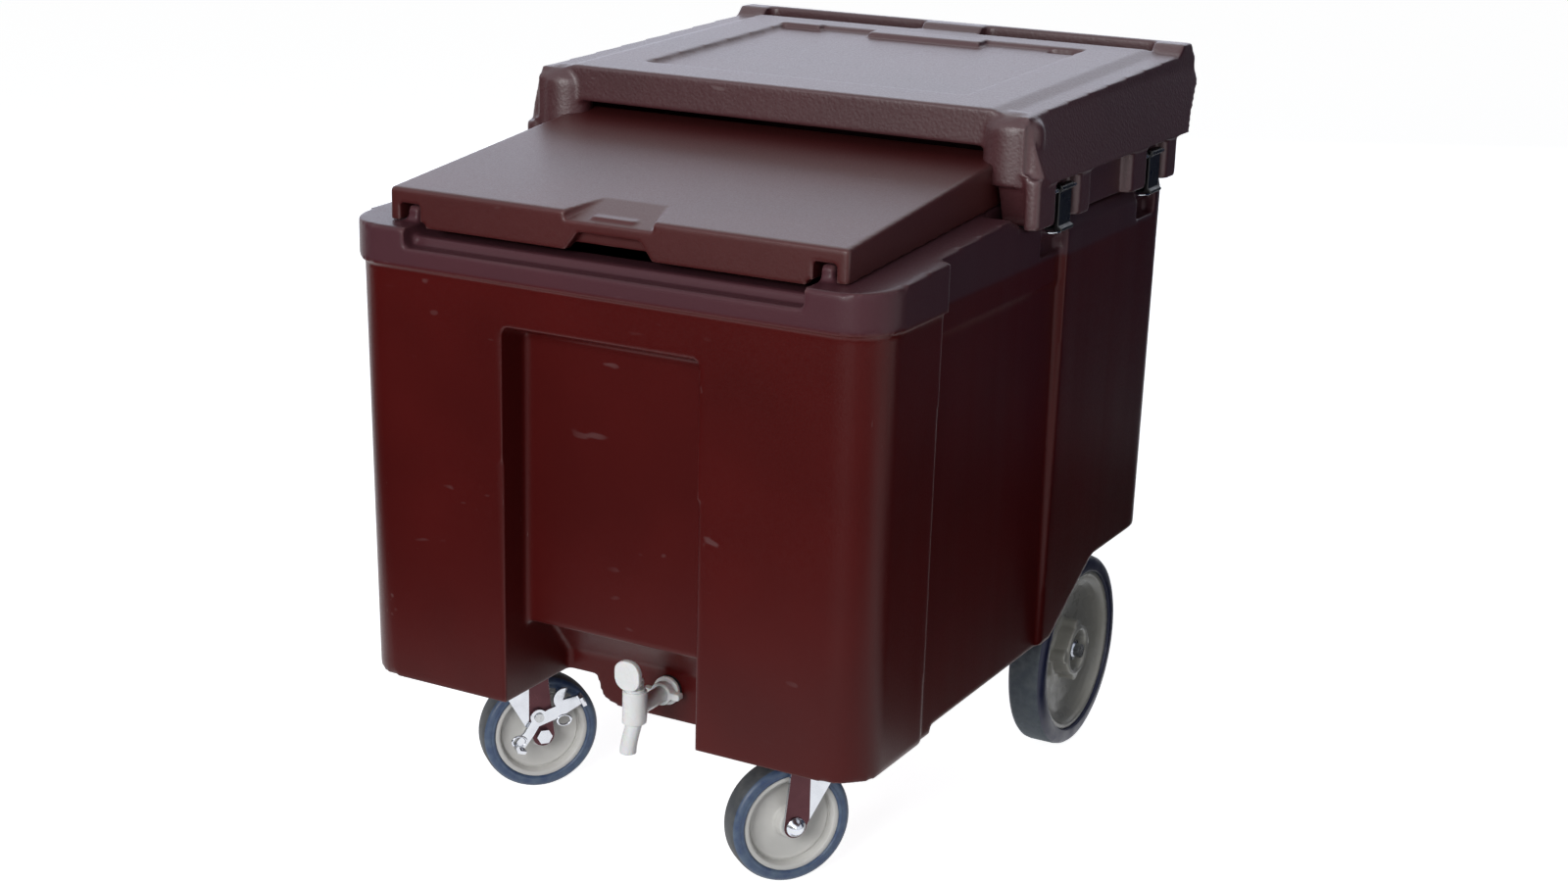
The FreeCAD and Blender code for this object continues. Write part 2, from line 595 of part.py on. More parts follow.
def drain_shelf():
    """Slotted false floor that keeps the ice out of its melt water."""
    body = new_body("drain_shelf")
    half = "tub_half_width - shelf_gap"
    floor = "tub_floor + shelf_foot"
    pad(body, "XY", [box(f"-({half})", half, "shelf_front", "shelf_rear")], floor, "shelf_thickness")
    round_edges(body, "shelf_corner_radius", lambda e: along(e, "z"))
    first = "shelf_front + slot_first_deep"
    slots = [box(f"{column} * slot_pitch_across - slot_length / 2",
                 f"{column} * slot_pitch_across + slot_length / 2", first, f"{first} + slot_width")
             for column in range(-2, 3)]
    row = cut(body, "XY", slots, floor, "shelf_thickness", 1)
    rows = body.newObject("PartDesign::LinearPattern", "slot_rows")
    rows.Originals = [row]
    rows.Direction = (row.Profile[0], ["V_Axis"])
    rows.Occurrences = SLOT_ROWS
    bind(rows, "Length", f"slot_pitch_deep * {SLOT_ROWS - 1}")
    body.Tip = rows
    doc.recompute()
    feet = [(f"{across} * ({half} - shelf_corner_radius)", f"{deep}", "shelf_foot")
            for across in (-1, 1)
            for deep in ("shelf_front + shelf_corner_radius", "shelf_rear - shelf_corner_radius")]
    pad(body, "XY", feet, "tub_floor", "shelf_foot")
    return body


def sliding_lid():
    """Wedge-shaped lid: grooves for the rails, a scoop and pad on top, a finger pull in front."""
    body = new_body("lid_moulding")
    rear = "lid_front + lid_length"
    side = [("lid_front", rim_at("lid_front") + " + lid_gap"), ("lid_front", lid_top_at("lid_front")),
            (rear, lid_top_at(rear)), (rear, rim_at(rear) + " + lid_gap")]
    pad(body, "YZ", [side], "0", "lid_half_width * 2", 0)
    drop = [("lid_front", rim_at("lid_front") + " + lid_gap - fascia_drop"),
            ("lid_front", rim_at("lid_front") + " + lid_gap + fascia_drop"),
            ("lid_front + fascia_thickness", rim_at("lid_front") + " + lid_gap + fascia_drop"),
            ("lid_front + fascia_thickness", rim_at("lid_front") + " + lid_gap - fascia_drop")]
    pad(body, "YZ", [drop], "0", "(mouth_half_width - fascia_gap) * 2", 0)
    groove = [("lid_front - overrun", rim_at("lid_front - overrun") + " - overrun"),
              ("lid_front - overrun", rim_at("lid_front - overrun") + " + groove_height"),
              (f"{rear} + overrun", rim_at(f"{rear} + overrun") + " + groove_height"),
              (f"{rear} + overrun", rim_at(f"{rear} + overrun") + " - overrun")]
    for toward in (1, -1):
        cut(body, "YZ", [groove], f"{toward} * groove_inner", "groove_outer - groove_inner", toward)
    half = size("lid_half_width")
    front = size("lid_front")
    top_low = size("rim_height") + size("lid_height") - size("lid_edge_round")
    round_edges(body, "lid_edge_round",
                lambda e: along(e, "x") and near(middle(e).y, front) and middle(e).z > top_low
                or near(abs(middle(e).x), half) and middle(e).z > top_low
                or along(e, "z") and near(abs(middle(e).x), half) and near(middle(e).y, front))
    deep = "scoop_depth"
    scoop = [("-scoop_front_half", "lid_front - overrun"), ("scoop_front_half", "lid_front - overrun"),
             ("scoop_front_half", "lid_front"), ("scoop_back_half", "lid_front + scoop_length"),
             ("-scoop_back_half", "lid_front + scoop_length"), ("-scoop_front_half", "lid_front")]
    ramp = new_body("scoop_wedge")
    profile = [("lid_front - overrun", lid_top_at("lid_front - overrun") + f" - {deep}"),
               ("lid_front", lid_top_at("lid_front") + f" - {deep}"),
               ("lid_front + scoop_length", lid_top_at("lid_front + scoop_length")),
               ("lid_front + scoop_length", lid_top_at("lid_front") + " + overrun"),
               ("lid_front - overrun", lid_top_at("lid_front") + " + overrun")]
    pad(ramp, "YZ", [profile], "0", "scoop_front_half * 4", 0)
    outside = "scoop_front_half * 2 + overrun"
    beyond = "lid_front + scoop_length + overrun"
    flank = [("scoop_front_half", "lid_front - 2 * overrun"), ("scoop_front_half", "lid_front"),
             ("scoop_back_half", "lid_front + scoop_length"), ("scoop_back_half", beyond),
             (outside, beyond), (outside, "lid_front - 2 * overrun")]
    cut(ramp, "XY", [flank, flip(flank)], lid_top_at("lid_front") + " + 2 * overrun", "lid_height * 3", -1)
    low = rim_at("lid_front") + " - fascia_drop"
    pull = [("-pull_bottom_half", low), ("pull_bottom_half", low),
            ("pull_top_half", low + " + fascia_drop + pull_height"),
            ("-pull_top_half", low + " + fascia_drop + pull_height")]
    finger_pull = block("finger_pull", "XZ", [pull], "lid_front - overrun",
                        "overrun + fascia_thickness")
    scoop_pad = block("scoop_pad", "XY", [box("-pad_half_width", "pad_half_width",
                                              "lid_front + pad_front",
                                              "lid_front + pad_front + pad_length")],
                      lid_top_at("lid_front") + " - scoop_depth - pad_height",
                      "pad_height * 2 + lid_gap")
    round_edges(scoop_pad, "pad_round", lambda e: along(e, "z"))
    return joined("sliding_lid", [carved("lid_carved", body, [ramp, finger_pull]), scoop_pad])


def side_gaps(latch):
    """The depths of the two tabs' inner faces, before and behind a latch."""
    return f"{latch} - tab_gap", f"{latch} + tab_gap"


def tab_spans():
    first_low, first_high = side_gaps("front_latch_depth")
    second_low, second_high = side_gaps("rear_latch_depth")
    return [(f"{first_low} - wide_tab", first_low), (first_high, f"{first_high} + narrow_tab"),
            (f"{second_low} - wide_tab", second_low), (second_high, f"{second_high} + narrow_tab")]


HOOD_LOW = "(seat_height + hood_gap)"


def seal_ring(name, at, length):
    """The seal's outline: along both sides and the rear, open at the front for the lid."""
    half = "(hood_wall_half - seal_inset)"
    front = "seat_front + seal_inset"
    rear = "(body_depth - seal_rear_inset)"
    outline = [(half, front), (half, rear), (f"-{half}", rear), (f"-{half}", front),
               (f"-({half} - seal_width)", front), (f"-({half} - seal_width)", f"{rear} - seal_width"),
               (f"{half} - seal_width", f"{rear} - seal_width"), (f"{half} - seal_width", front)]
    return block(name, "XY", [outline], at, length)


LATCHES = [(name, side, sign) for name in ("front", "rear") for side, sign in (("right", 1), ("left", -1))]


def pin_rods(kind):
    """The four latch pins, or the holes for them, from tab to tab."""
    rods = []
    for name, side, sign in LATCHES:
        rod = (f"{sign} * latch_pin_depth", "latch_pin_height", "latch_pin_radius")
        rods.append(block(f"{kind}_{name}_{side}", "XZ", [rod],
                          f"{name}_latch_depth - tab_gap - latch_pin_seat",
                          "(tab_gap + latch_pin_seat) * 2"))
    return rods


def hood_block():
    """The hood's outer form, where its side view, its flared section and its plan all meet."""
    side = [("hood_front", "hood_flare_bottom"), ("hood_front", "hood_top"),
            ("handle_front", hood_at("handle_front")),
            ("handle_top_front", hood_at("handle_front") + " + handle_rise"),
            ("handle_top_rear", hood_at("handle_front") + " + handle_rise"),
            ("handle_rear", hood_at("handle_front") + " - handle_rise / 2"),
            ("handle_rear", "hood_top - handle_nose_drop"), ("handle_low_depth", "handle_low"),
            ("hood_rear_wall", "hood_flare_bottom")]
    top = hood_at("handle_front") + " + handle_rise + overrun"
    flare = [("-hood_flare_half", "hood_flare_bottom"), ("hood_flare_half", "hood_flare_bottom"),
             ("hood_top_half", "hood_top"), ("hood_top_half", top), ("-hood_top_half", top),
             ("-hood_top_half", "hood_top")]
    plan = block("hood_plan", "XY", [box("-hood_flare_half", "hood_flare_half", "hood_front",
                                         "handle_rear")], "hood_flare_bottom - overrun",
                 f"{top} + 2 * overrun - hood_flare_bottom")
    round_edges(plan, "hood_corner_radius", lambda e: along(e, "z"))
    profile = block("hood_profile", "YZ", [side], "0", "hood_flare_half * 3", 0)
    section = block("hood_section", "XZ", [flare], "hood_front - overrun",
                    "handle_rear + 2 * overrun - hood_front")
    form = doc.addObject("Part::MultiCommon", "hood_form")
    form.Shapes = [plan, profile, section]
    doc.recompute()
    return form


def hood_additions():
    """What stands out from the hood's form: its lower walls, tabs, corner posts and crown."""
    walls = block("hood_walls", "XY", [box("-hood_wall_half", "hood_wall_half",
                                           "seat_front + hood_gap", "hood_rear_wall")],
                  HOOD_LOW, f"hood_flare_bottom - ({HOOD_LOW}) + skin")
    pieces = [walls]
    edge = size("hood_wall_half") + size("tab_proud")
    for number, span in enumerate(tab_spans(), start=1):
        tab = box("hood_wall_half - tab_root", "hood_wall_half + tab_proud", *span)
        body = block(f"tab_pair_{number}", "XY", [tab, flip(tab)], "tab_bottom",
                     "hood_flare_bottom - tab_bottom + skin")
        round_edges(body, "tab_round", lambda e: along(e, "z") and near(abs(middle(e).x), edge))
        pieces.append(body)
    back = "hood_front + hood_thickness"
    foot = "seat_front + hood_gap"
    cheek = [("post_front", "post_bottom"), (foot, "post_foot"), (foot, HOOD_LOW),
             (back, HOOD_LOW), (back, "post_bottom")]
    post = [("post_front", "post_bottom"), ("post_front", "hood_top - hood_edge_round"),
            ("hood_front", "hood_top - hood_edge_round / 2"), (back, "hood_top - hood_edge_round / 2"),
            (back, "post_bottom")]
    pieces += both("cheek", "YZ", cheek, "opening_half", "hood_wall_half - opening_half")
    pieces += both("post", "YZ", post, "opening_half", "hood_top_half - opening_half")
    crown = [("-crown_half - crown_ramp", "hood_top - hood_edge_round / 2"),
             ("-crown_half", "hood_top + hood_crown"), ("crown_half", "hood_top + hood_crown"),
             ("crown_half + crown_ramp", "hood_top - hood_edge_round / 2")]
    lift = math.tan(math.radians(size("hood_slope")))
    pieces.append(block("crown", "XZ", [crown], "hood_front", "handle_front - hood_front", -1,
                        UseCustomVector=True, Direction=V(0, 1, lift)))
    return pieces


def hood_hollows():
    """What is cut from the hood: its inside, the lid's way in, the tray and the hand grips."""
    inner = "hood_front + hood_thickness"
    rear = "hood_rear_wall - hood_rear_thickness"
    hollow = [(inner, "seat_height - overrun"),
              (inner, hood_at("hood_front") + " - hood_thickness"),
              (rear, hood_at(rear) + " - hood_thickness"), (rear, "seat_height - overrun")]
    way_in = box("-opening_half", "opening_half", "seat_height - overrun", "fascia_bottom")
    face = " + hood_crown - tray_depth"
    tray = [("tray_front", hood_at("tray_front") + face), ("tray_rear", hood_at("tray_rear") + face),
            ("tray_rear", hood_at("tray_rear") + " + overrun"),
            ("tray_front", hood_at("tray_front") + " + overrun")]
    notch_front = "tray_rear - tray_notch_length"
    notch = [(notch_front, hood_at(notch_front) + " - tray_depth"),
             ("tray_rear", hood_at("tray_rear") + " - tray_depth"),
             ("tray_rear", hood_at("tray_rear") + " + overrun"),
             (notch_front, hood_at("tray_rear") + " + overrun")]
    grip = box("grip_inner", "grip_outer", "grip_front", "grip_rear")
    grips = block("grips", "XY", [grip, flip(grip)], "hood_flare_bottom - overrun",
                  hood_at("handle_front") + " + handle_rise + 2 * overrun - hood_flare_bottom")
    round_edges(grips, "grip_round", lambda e: along(e, "z"))
    return [block("hood_inside", "YZ", [hollow], "0", "(hood_wall_half - hood_wall) * 2", 0),
            block("lid_way_in", "XZ", [way_in], "hood_front - overrun", "hood_thickness + 2 * overrun"),
            block("tray", "YZ", [tray], "0", "tray_half_width * 2", 0),
            block("tray_notch", "YZ", [notch], "tray_notch_left", "tray_notch_width"), grips,
            seal_ring("seal_groove", "seat_height - overrun", "overrun + part_gap + seal_thickness")
            ] + pin_rods("pin_hole")


def tray_tabs():
    """Two thin tabs that reach over the tray's rear edge."""
    tabs = []
    for name, at, width, length in (
            ("middle_tab", "-tray_tab_half", "tray_tab_half * 2", "tray_tab_length"),
            ("side_tab", "-side_tab_left", "side_tab_width", "side_tab_length")):
        front, back = f"tray_rear - {length}", "tray_rear + tray_tab_thickness"
        low = " + hood_crown - tray_tab_thickness"
        high = " + hood_crown + tray_tab_thickness / 2"
        tab = [(front, hood_at(front) + low), (back, hood_at(back) + low),
               (back, hood_at(back) + high), (front, hood_at(front) + high)]
        tabs.append(block(name, "YZ", [tab], at, width))
    return tabs


def hood_shell():
    outer = joined("hood_outer", [hood_block()] + hood_additions())
    return joined("hood_shell", [carved("hood_carved", outer, hood_hollows())] + tray_tabs())


def latch(name, side, sign):
    """A latch about its pin: an eye, an arm, a nose that hooks under the keeper and a lip."""
    body = new_body(f"latch_{name}_{side}")
    half = "latch_thickness / 2"
    low = "-(latch_length + latch_nose_height)"
    arm = [(f"-{half}", "0"), (f"-{half}", "-latch_length"),
           (f"-({half} + latch_nose)", "-latch_length"), (f"-({half} + latch_nose)", low),
           (f"{half} + latch_lip", low), (f"{half} + latch_lip", "-latch_length"),
           (half, "-latch_length + latch_lip"), (half, "0")]
    pad(body, "XZ", [arm if sign > 0 else flip(arm)], "0", "latch_width", 0)
    pad(body, "XZ", [("0", "0", "latch_eye_radius")], "0", "latch_width", 0)
    cut(body, "XZ", [("0", "0", "latch_pin_radius + pin_clearance")], "0", "latch_width * 2", 0)
    return body


def tap():
    """The drain tap: a valve on a barrel through the sump's wall, with its nuts and its lever."""
    flange = "(sump_face - tap_seal_thickness)"
    inside = "(pan_front + tap_nut_thickness + tap_thread_end)"
    barrel = ring("tap_barrel", "y", "0", "tap_barrel_radius", "tap_valve_depth", inside)
    plate = ring("tap_flange", "y", "0", "tap_flange_radius", f"{flange} - tap_flange_thickness",
                 flange)
    valve = block("tap_valve", "XY", [("0", "tap_valve_depth", "tap_valve_radius")],
                  "tap_valve_bottom - tap_height", "tap_valve_top - tap_valve_bottom")
    spout = block("tap_spout", "XY", [("0", "tap_valve_depth", "tap_spout_radius")],
                  "tap_spout_bottom - tap_height", "tap_valve_top - tap_spout_bottom")
    passage = ring("tap_passage", "y", "0", "tap_passage", "tap_valve_depth", f"{inside} + overrun")
    outlet = block("tap_outlet", "XY", [("0", "tap_valve_depth", "tap_spout_bore")],
                   "tap_spout_bottom - overrun - tap_height", "overrun + tap_height - tap_spout_bottom")
    solid = joined("tap_solid", [barrel, plate, valve, spout])
    place(carved("tap_body", solid, [passage, outlet]), "tap_offset", "0", "tap_height")
    place(ring("tap_seal", "y", "tap_barrel_radius", "tap_flange_radius", flange, "sump_face"),
          "tap_offset", "0", "tap_height")
    wing_rear = f"{flange} - tap_flange_thickness - tap_wing_gap"
    wings = box("-tap_wing_half_span", "tap_wing_half_span", "-tap_wing_height / 2",
                "tap_wing_height / 2")
    wing_nut = new_body("tap_wing_nut")
    pad(wing_nut, "XZ", [wings], wing_rear, "tap_wing_thickness", -1)
    pad(wing_nut, "XZ", [("0", "0", "tap_wing_radius")], wing_rear, "tap_wing_thickness", -1)
    cut(wing_nut, "XZ", [("0", "0", "tap_barrel_radius")], wing_rear, "tap_wing_thickness", -1)
    round_edges(wing_nut, "tap_wing_height / 3",
                lambda e: along(e, "y") and near(abs(middle(e).x), size("tap_wing_half_span")))
    place(wing_nut, "tap_offset", "0", "tap_height")
    nut = block("tap_lock_nut", "XZ", [hexagon("tap_nut_radius"), ("0", "0", "tap_barrel_radius")],
                "pan_front", "tap_nut_thickness")
    place(nut, "tap_offset", "0", "tap_height")
    bonnet_and_lever()


def bonnet_and_lever():
    """Cap on the valve with two ears, and between them the lever on its pin."""
    drop = "(tap_pin_height - tap_valve_top)"
    bonnet = new_body("tap_bonnet")
    pad(bonnet, "XY", [("0", "0", "tap_bonnet_radius")], f"-{drop}", "tap_bonnet_height")
    ear = box("-tap_ear_radius", "tap_ear_radius", f"-{drop}", "0")
    for toward in (1, -1):
        at = f"{toward} * tap_ear_inner"
        pad(bonnet, "YZ", [ear], at, "tap_ear_thickness", toward)
        pad(bonnet, "YZ", [("0", "0", "tap_ear_radius")], at, "tap_ear_thickness", toward)
    cut(bonnet, "YZ", [("0", "0", "tap_pin_radius")], "0", "tap_bonnet_radius * 3", 0)
    across = "(tap_ear_inner + tap_ear_thickness)"
    pin = ring("tap_pin", "x", "0", "tap_pin_radius", f"-{across}", across)
    foot = new_body("lever_foot")
    width = "(tap_ear_inner - lever_gap) * 2"
    pad(foot, "YZ", [("0", "0", "tap_ear_radius")], "0", width, 0)
    pad(foot, "YZ", [box("-paddle_reach - paddle_thickness / 2", "0", "-tap_ear_radius / 2",
                         "tap_ear_radius / 2")], "0", width, 0)
    cut(foot, "YZ", [("0", "0", "tap_pin_radius + pin_clearance")], "0", "paddle_width", 0)
    near_side = "-paddle_reach"
    far_side = "-paddle_reach - paddle_thickness"
    plate = [(near_side, "-paddle_bottom"), (f"{near_side} - paddle_lean", "paddle_top"),
             (f"{far_side} - paddle_lean", "paddle_top"), (far_side, "-paddle_bottom")]
    paddle = block("lever_paddle", "YZ", [plate], "0", "paddle_width", 0)
    edge = size("paddle_width") / 2
    round_edges(paddle, "paddle_corner",
                lambda e: along(e, "y") and near(abs(middle(e).x), edge))
    for piece in (bonnet, pin, joined("tap_lever", [foot, paddle])):
        place(piece, "tap_offset", "tap_valve_depth", "tap_pin_height")


PLATE_LOW = "(pillar_bottom - caster_plate_thickness)"
RACE_LOW = f"({PLATE_LOW} - race_height)"
CROWN_TOP = f"({RACE_LOW} - part_gap)"
CROWN_LOW = f"({CROWN_TOP} - fork_thickness)"
CASTER_BOLTS = [(f"{a} * caster_hole_long / 2", f"{b} * caster_hole_wide / 2")
                for a in (-1, 1) for b in (-1, 1)]


def caster_fixed(side, sign):
    """The plate, bolts, race and kingpin that hold a caster under the tub."""
    where = (f"{sign} * caster_half_spacing", "caster_depth")
    plate = new_body(f"caster_plate_{side}")
    pad(plate, "XY", [box("-caster_plate_long / 2", "caster_plate_long / 2",
                          "-caster_plate_wide / 2", "caster_plate_wide / 2")], PLATE_LOW,
        "caster_plate_thickness")
    round_edges(plate, "caster_plate_radius", lambda e: along(e, "z"))
    holes = [(u, v, "caster_bolt_radius") for u, v in CASTER_BOLTS] + [("0", "0", "kingpin_radius")]
    cut(plate, "XY", holes, PLATE_LOW, "caster_plate_thickness", 1)
    bolts = []
    for number, (u, v) in enumerate(CASTER_BOLTS, start=1):
        bolt = new_body(f"caster_bolt_{side}_{number}")
        head = f"{PLATE_LOW} - caster_bolt_head_height"
        pad(bolt, "XY", [hexagon("caster_bolt_head", u, v)], head, "caster_bolt_head_height")
        pad(bolt, "XY", [(u, v, "caster_bolt_radius")], PLATE_LOW,
            "caster_plate_thickness + caster_bolt_length")
        bolts.append(bolt)
    race = ring(f"caster_race_{side}", "z", "kingpin_radius", "race_radius", RACE_LOW, PLATE_LOW)
    low = f"({CROWN_LOW} - part_gap - kingpin_head_height)"
    kingpin = turned(f"kingpin_{side}", "z", [
        ("0", low), ("kingpin_head", low), ("kingpin_head", f"{low} + kingpin_head_height"),
        ("kingpin_radius", f"{low} + kingpin_head_height"), ("kingpin_radius", "pillar_bottom"),
        ("0", "pillar_bottom")])
    for piece in (plate, joined(f"caster_bolts_{side}", bolts), race, kingpin):
        place(piece, *where)


def caster_fork(side):
    """Fork with a round crown and two legs that narrow to the axle, behind the swivel."""
    wide = "(fork_inner_half + fork_thickness)"
    fork = new_body(f"caster_fork_{side}")
    pad(fork, "XY", [("0", "0", "fork_crown_radius")], CROWN_LOW, "fork_thickness")
    pad(fork, "XY", [box("-fork_front", "fork_back", f"-{wide}", wide)], CROWN_LOW,
        "fork_thickness")
    leg = [("-fork_front", CROWN_TOP), ("fork_back", CROWN_TOP),
           ("caster_trail + fork_foot_radius", "caster_wheel_radius"),
           ("caster_trail - fork_foot_radius", "caster_wheel_radius")]
    foot = ("caster_trail", "caster_wheel_radius", "fork_foot_radius")
    for toward in (1, -1):
        for outline in (leg, foot):
            pad(fork, "XZ", [outline], f"{toward} * fork_inner_half", "fork_thickness", toward)
    cut(fork, "XZ", [("caster_trail", "caster_wheel_radius", "caster_axle_radius")], "0",
        f"{wide} * 3", 0)
    cut(fork, "XY", [("0", "0", "kingpin_radius + pin_clearance")], CROWN_LOW, "fork_thickness", 1)
    return fork


def caster_wheel(side):
    """Wheel core, tyre and bush, about the wheel's own centre."""
    rim_low = "caster_rim_radius - caster_rim_depth"
    core = turned(f"caster_core_{side}", "y", [
        ("caster_bush_radius", "-caster_hub_half"), ("caster_hub_radius", "-caster_hub_half"),
        ("caster_hub_radius", "-caster_web_half"), (rim_low, "-caster_web_half"),
        (rim_low, "-caster_core_half"), ("caster_rim_radius", "-caster_core_half"),
        ("caster_rim_radius", "caster_core_half"), (rim_low, "caster_core_half"),
        (rim_low, "caster_web_half"), ("caster_hub_radius", "caster_web_half"),
        ("caster_hub_radius", "caster_hub_half"), ("caster_bush_radius", "caster_hub_half")])
    return core, tyre(f"caster_tyre_{side}", "y", "caster_rim_radius", "caster_wheel_radius",
                      "caster_tyre_half", "tyre_round")


def tyre(label, axis, inner, outer, half, shoulder):
    """A tyre on its rim, with a slope from each side wall to the tread."""
    return turned(label, axis, [
        (inner, f"-{half}"), (f"{outer} - {shoulder}", f"-{half}"),
        (f"{outer} - {shoulder} / 4", f"-({half} - {shoulder} / 3)"),
        (outer, f"-({half} - {shoulder})"), (outer, f"{half} - {shoulder}"),
        (f"{outer} - {shoulder} / 4", f"{half} - {shoulder} / 3"),
        (f"{outer} - {shoulder}", half), (inner, half)])


def caster(side, sign):
    caster_fixed(side, sign)
    angle = f"{side}_trail_angle"
    swivel = (f"{sign} * caster_half_spacing", "caster_depth", "0", angle)
    hub = (f"{sign} * caster_half_spacing + caster_trail * cos({angle})",
           f"caster_depth + caster_trail * sin({angle})", "caster_wheel_radius", angle)
    place(caster_fork(side), *swivel)
    for piece in caster_wheel(side):
        place(piece, *hub)
    place(ring(f"caster_bush_{side}", "y", "caster_axle_radius + axle_clearance",
               "caster_bush_radius", "-caster_bush_half", "caster_bush_half"), *hub)
    outside = "(fork_inner_half + fork_thickness)"
    bolt = new_body(f"caster_axle_{side}")
    pad(bolt, "XZ", [("0", "0", "caster_axle_radius")], f"-{outside}",
        f"{outside} * 2 + axle_head_height")
    pad(bolt, "XZ", [hexagon("axle_head_radius")], f"-{outside}", "axle_head_height", -1)
    place(bolt, *hub)
    nut = block(f"caster_nut_{side}", "XZ", [hexagon("axle_head_radius"),
                                             ("0", "0", "caster_axle_radius")],
                outside, "axle_head_height")
    place(nut, *hub)


# Outlines of the brake lever as shares of its reach, from its pin along the trail and upward.
BRAKE_ROCKER_SHARES = [(-0.52, -0.68), (-0.36, -0.72), (-0.12, -0.4), (0, -0.2), (0.24, -0.12),
                       (0.48, -0.04), (1, 0.24), (0.92, 0.44), (0.6, 0.28), (0.2, 0.16),
                       (-0.12, 0), (-0.32, -0.32), (-0.56, -0.56)]
BRAKE_WEDGE_SHARES = [(0.52, 0.34), (0.66, 0.68), (0.92, 0.64), (0.88, 0.4)]
BRAKE_UPPER_PEDAL_SHARES = [(0.92, 0.21), (1, 0.24), (0.92, 0.44), (0.84, 0.4)]
BRAKE_LOWER_PEDAL_SHARES = [(-0.56, -0.56), (-0.52, -0.68), (-0.36, -0.72), (-0.32, -0.66),
                            (-0.46, -0.62), (-0.5, -0.5)]
BRAKE_HOOK_SHARES = (0.56, 0.36)
BRAKE_PAD_SHARES = (0.47, 0.48)


def of_reach(shares):
    return [(f"{along} * brake_reach", f"{up} * brake_reach") for along, up in shares]


def brake():
    """Side brake on the left caster: a rocking lever on a pin, with two pedals, a hook and a pad."""
    outside = "(fork_inner_half + fork_thickness)"
    inner = f"-({outside} + part_gap)"
    outer = f"-({outside} + part_gap + brake_thickness)"
    (hook,) = of_reach([BRAKE_HOOK_SHARES])
    (shoe,) = of_reach([BRAKE_PAD_SHARES])
    rocker = new_body("brake_rocker")
    pad(rocker, "XZ", [("0", "0", "brake_eye_radius")], inner, "brake_thickness", -1)
    pad(rocker, "XZ", [of_reach(BRAKE_ROCKER_SHARES)], inner, "brake_thickness", -1)
    cut(rocker, "XZ", [("0", "0", "brake_pin_radius + pin_clearance")], inner, "brake_thickness", -1)
    cam = new_body("brake_hook")
    pad(cam, "XZ", [(*hook, "brake_hook_radius")], inner, "brake_thickness", -1)
    cut(cam, "XZ", [of_reach(BRAKE_WEDGE_SHARES)], inner, "brake_thickness", -1)
    reach_in = f"{outside} + part_gap - caster_tyre_half - brake_pad_gap"
    rubbing = block("brake_pad", "XZ", [(*shoe, "brake_pad_radius")], outer,
                    f"{reach_in} + brake_thickness")
    pedals = [block(f"brake_{name}_pedal", "XZ", [of_reach(shares)],
                    f"{outer} - brake_pedal_width", "brake_pedal_width + brake_thickness")
              for name, shares in (("upper", BRAKE_UPPER_PEDAL_SHARES),
                                   ("lower", BRAKE_LOWER_PEDAL_SHARES))]
    lever = joined("brake_lever", [rocker, cam, rubbing, *pedals])
    pin = turned("brake_pin", "y", [
        ("0", f"-{outside}"), ("brake_pin_radius", f"-{outside}"),
        ("brake_pin_radius", f"{outer} - part_gap"), ("brake_pin_head", f"{outer} - part_gap"),
        ("brake_pin_head", f"{outer} - part_gap - brake_thickness / 2"),
        ("0", f"{outer} - part_gap - brake_thickness / 2")])
    for piece in (lever, pin):
        place(piece, "-caster_half_spacing + brake_pin_along * cos(left_trail_angle)",
              "caster_depth + brake_pin_along * sin(left_trail_angle)", "brake_pin_height",
              "left_trail_angle")


WHEEL_MIDDLE = "(rear_wheel_face - rear_tyre_half)"
WASHER_INNER = f"({WHEEL_MIDDLE} + rear_seat + bush_stand + part_gap)"


def rear_bracket(side, sign):
    """Bolted bracket that hangs the fixed axle under the tub."""
    body = new_body(f"axle_bracket_{side}")
    half = "bracket_width / 2"
    drop = f"(rear_underside - {AXLE_HIGH})"
    plate = [(f"-{half}", drop), (half, drop), ("bracket_foot_radius", "0"),
             ("-bracket_foot_radius", "0")]
    at = f"{sign} * bracket_inner"
    pad(body, "YZ", [plate], at, "bracket_thickness", sign)
    pad(body, "YZ", [("0", "0", "bracket_foot_radius")], at, "bracket_thickness", sign)
    inner = f"{sign} * (bracket_inner - bracket_foot_width)"
    outer = f"{sign} * (bracket_inner + bracket_thickness)"
    foot = [(inner, f"-{half}"), (outer, f"-{half}"), (outer, half), (inner, half)]
    pad(body, "XY", [foot], drop, "bracket_thickness", -1)
    cut(body, "YZ", [("0", "0", "rear_axle_radius")], "0", "bracket_inner * 4", 0)
    bolt_x = f"{sign} * (bracket_inner - bracket_foot_width / 2)"
    bolts = [(bolt_x, f"{step} * bracket_bolt_spacing / 2") for step in (-1, 1)]
    cut(body, "XY", [(u, v, "bracket_bolt_radius") for u, v in bolts], drop,
        "bracket_thickness", -1)
    screws = []
    for number, (u, v) in enumerate(bolts, start=1):
        screw = new_body(f"bracket_bolt_{side}_{number}")
        low = f"({drop} - bracket_thickness)"
        pad(screw, "XY", [hexagon("bracket_bolt_head", u, v)], low, "bracket_bolt_head_height", -1)
        pad(screw, "XY", [(u, v, "bracket_bolt_radius")], low,
            "bracket_thickness + bracket_bolt_length")
        screws.append(screw)
    for piece in (body, joined(f"bracket_bolts_{side}", screws)):
        place(piece, "0", "rear_axle_depth", AXLE_HIGH)


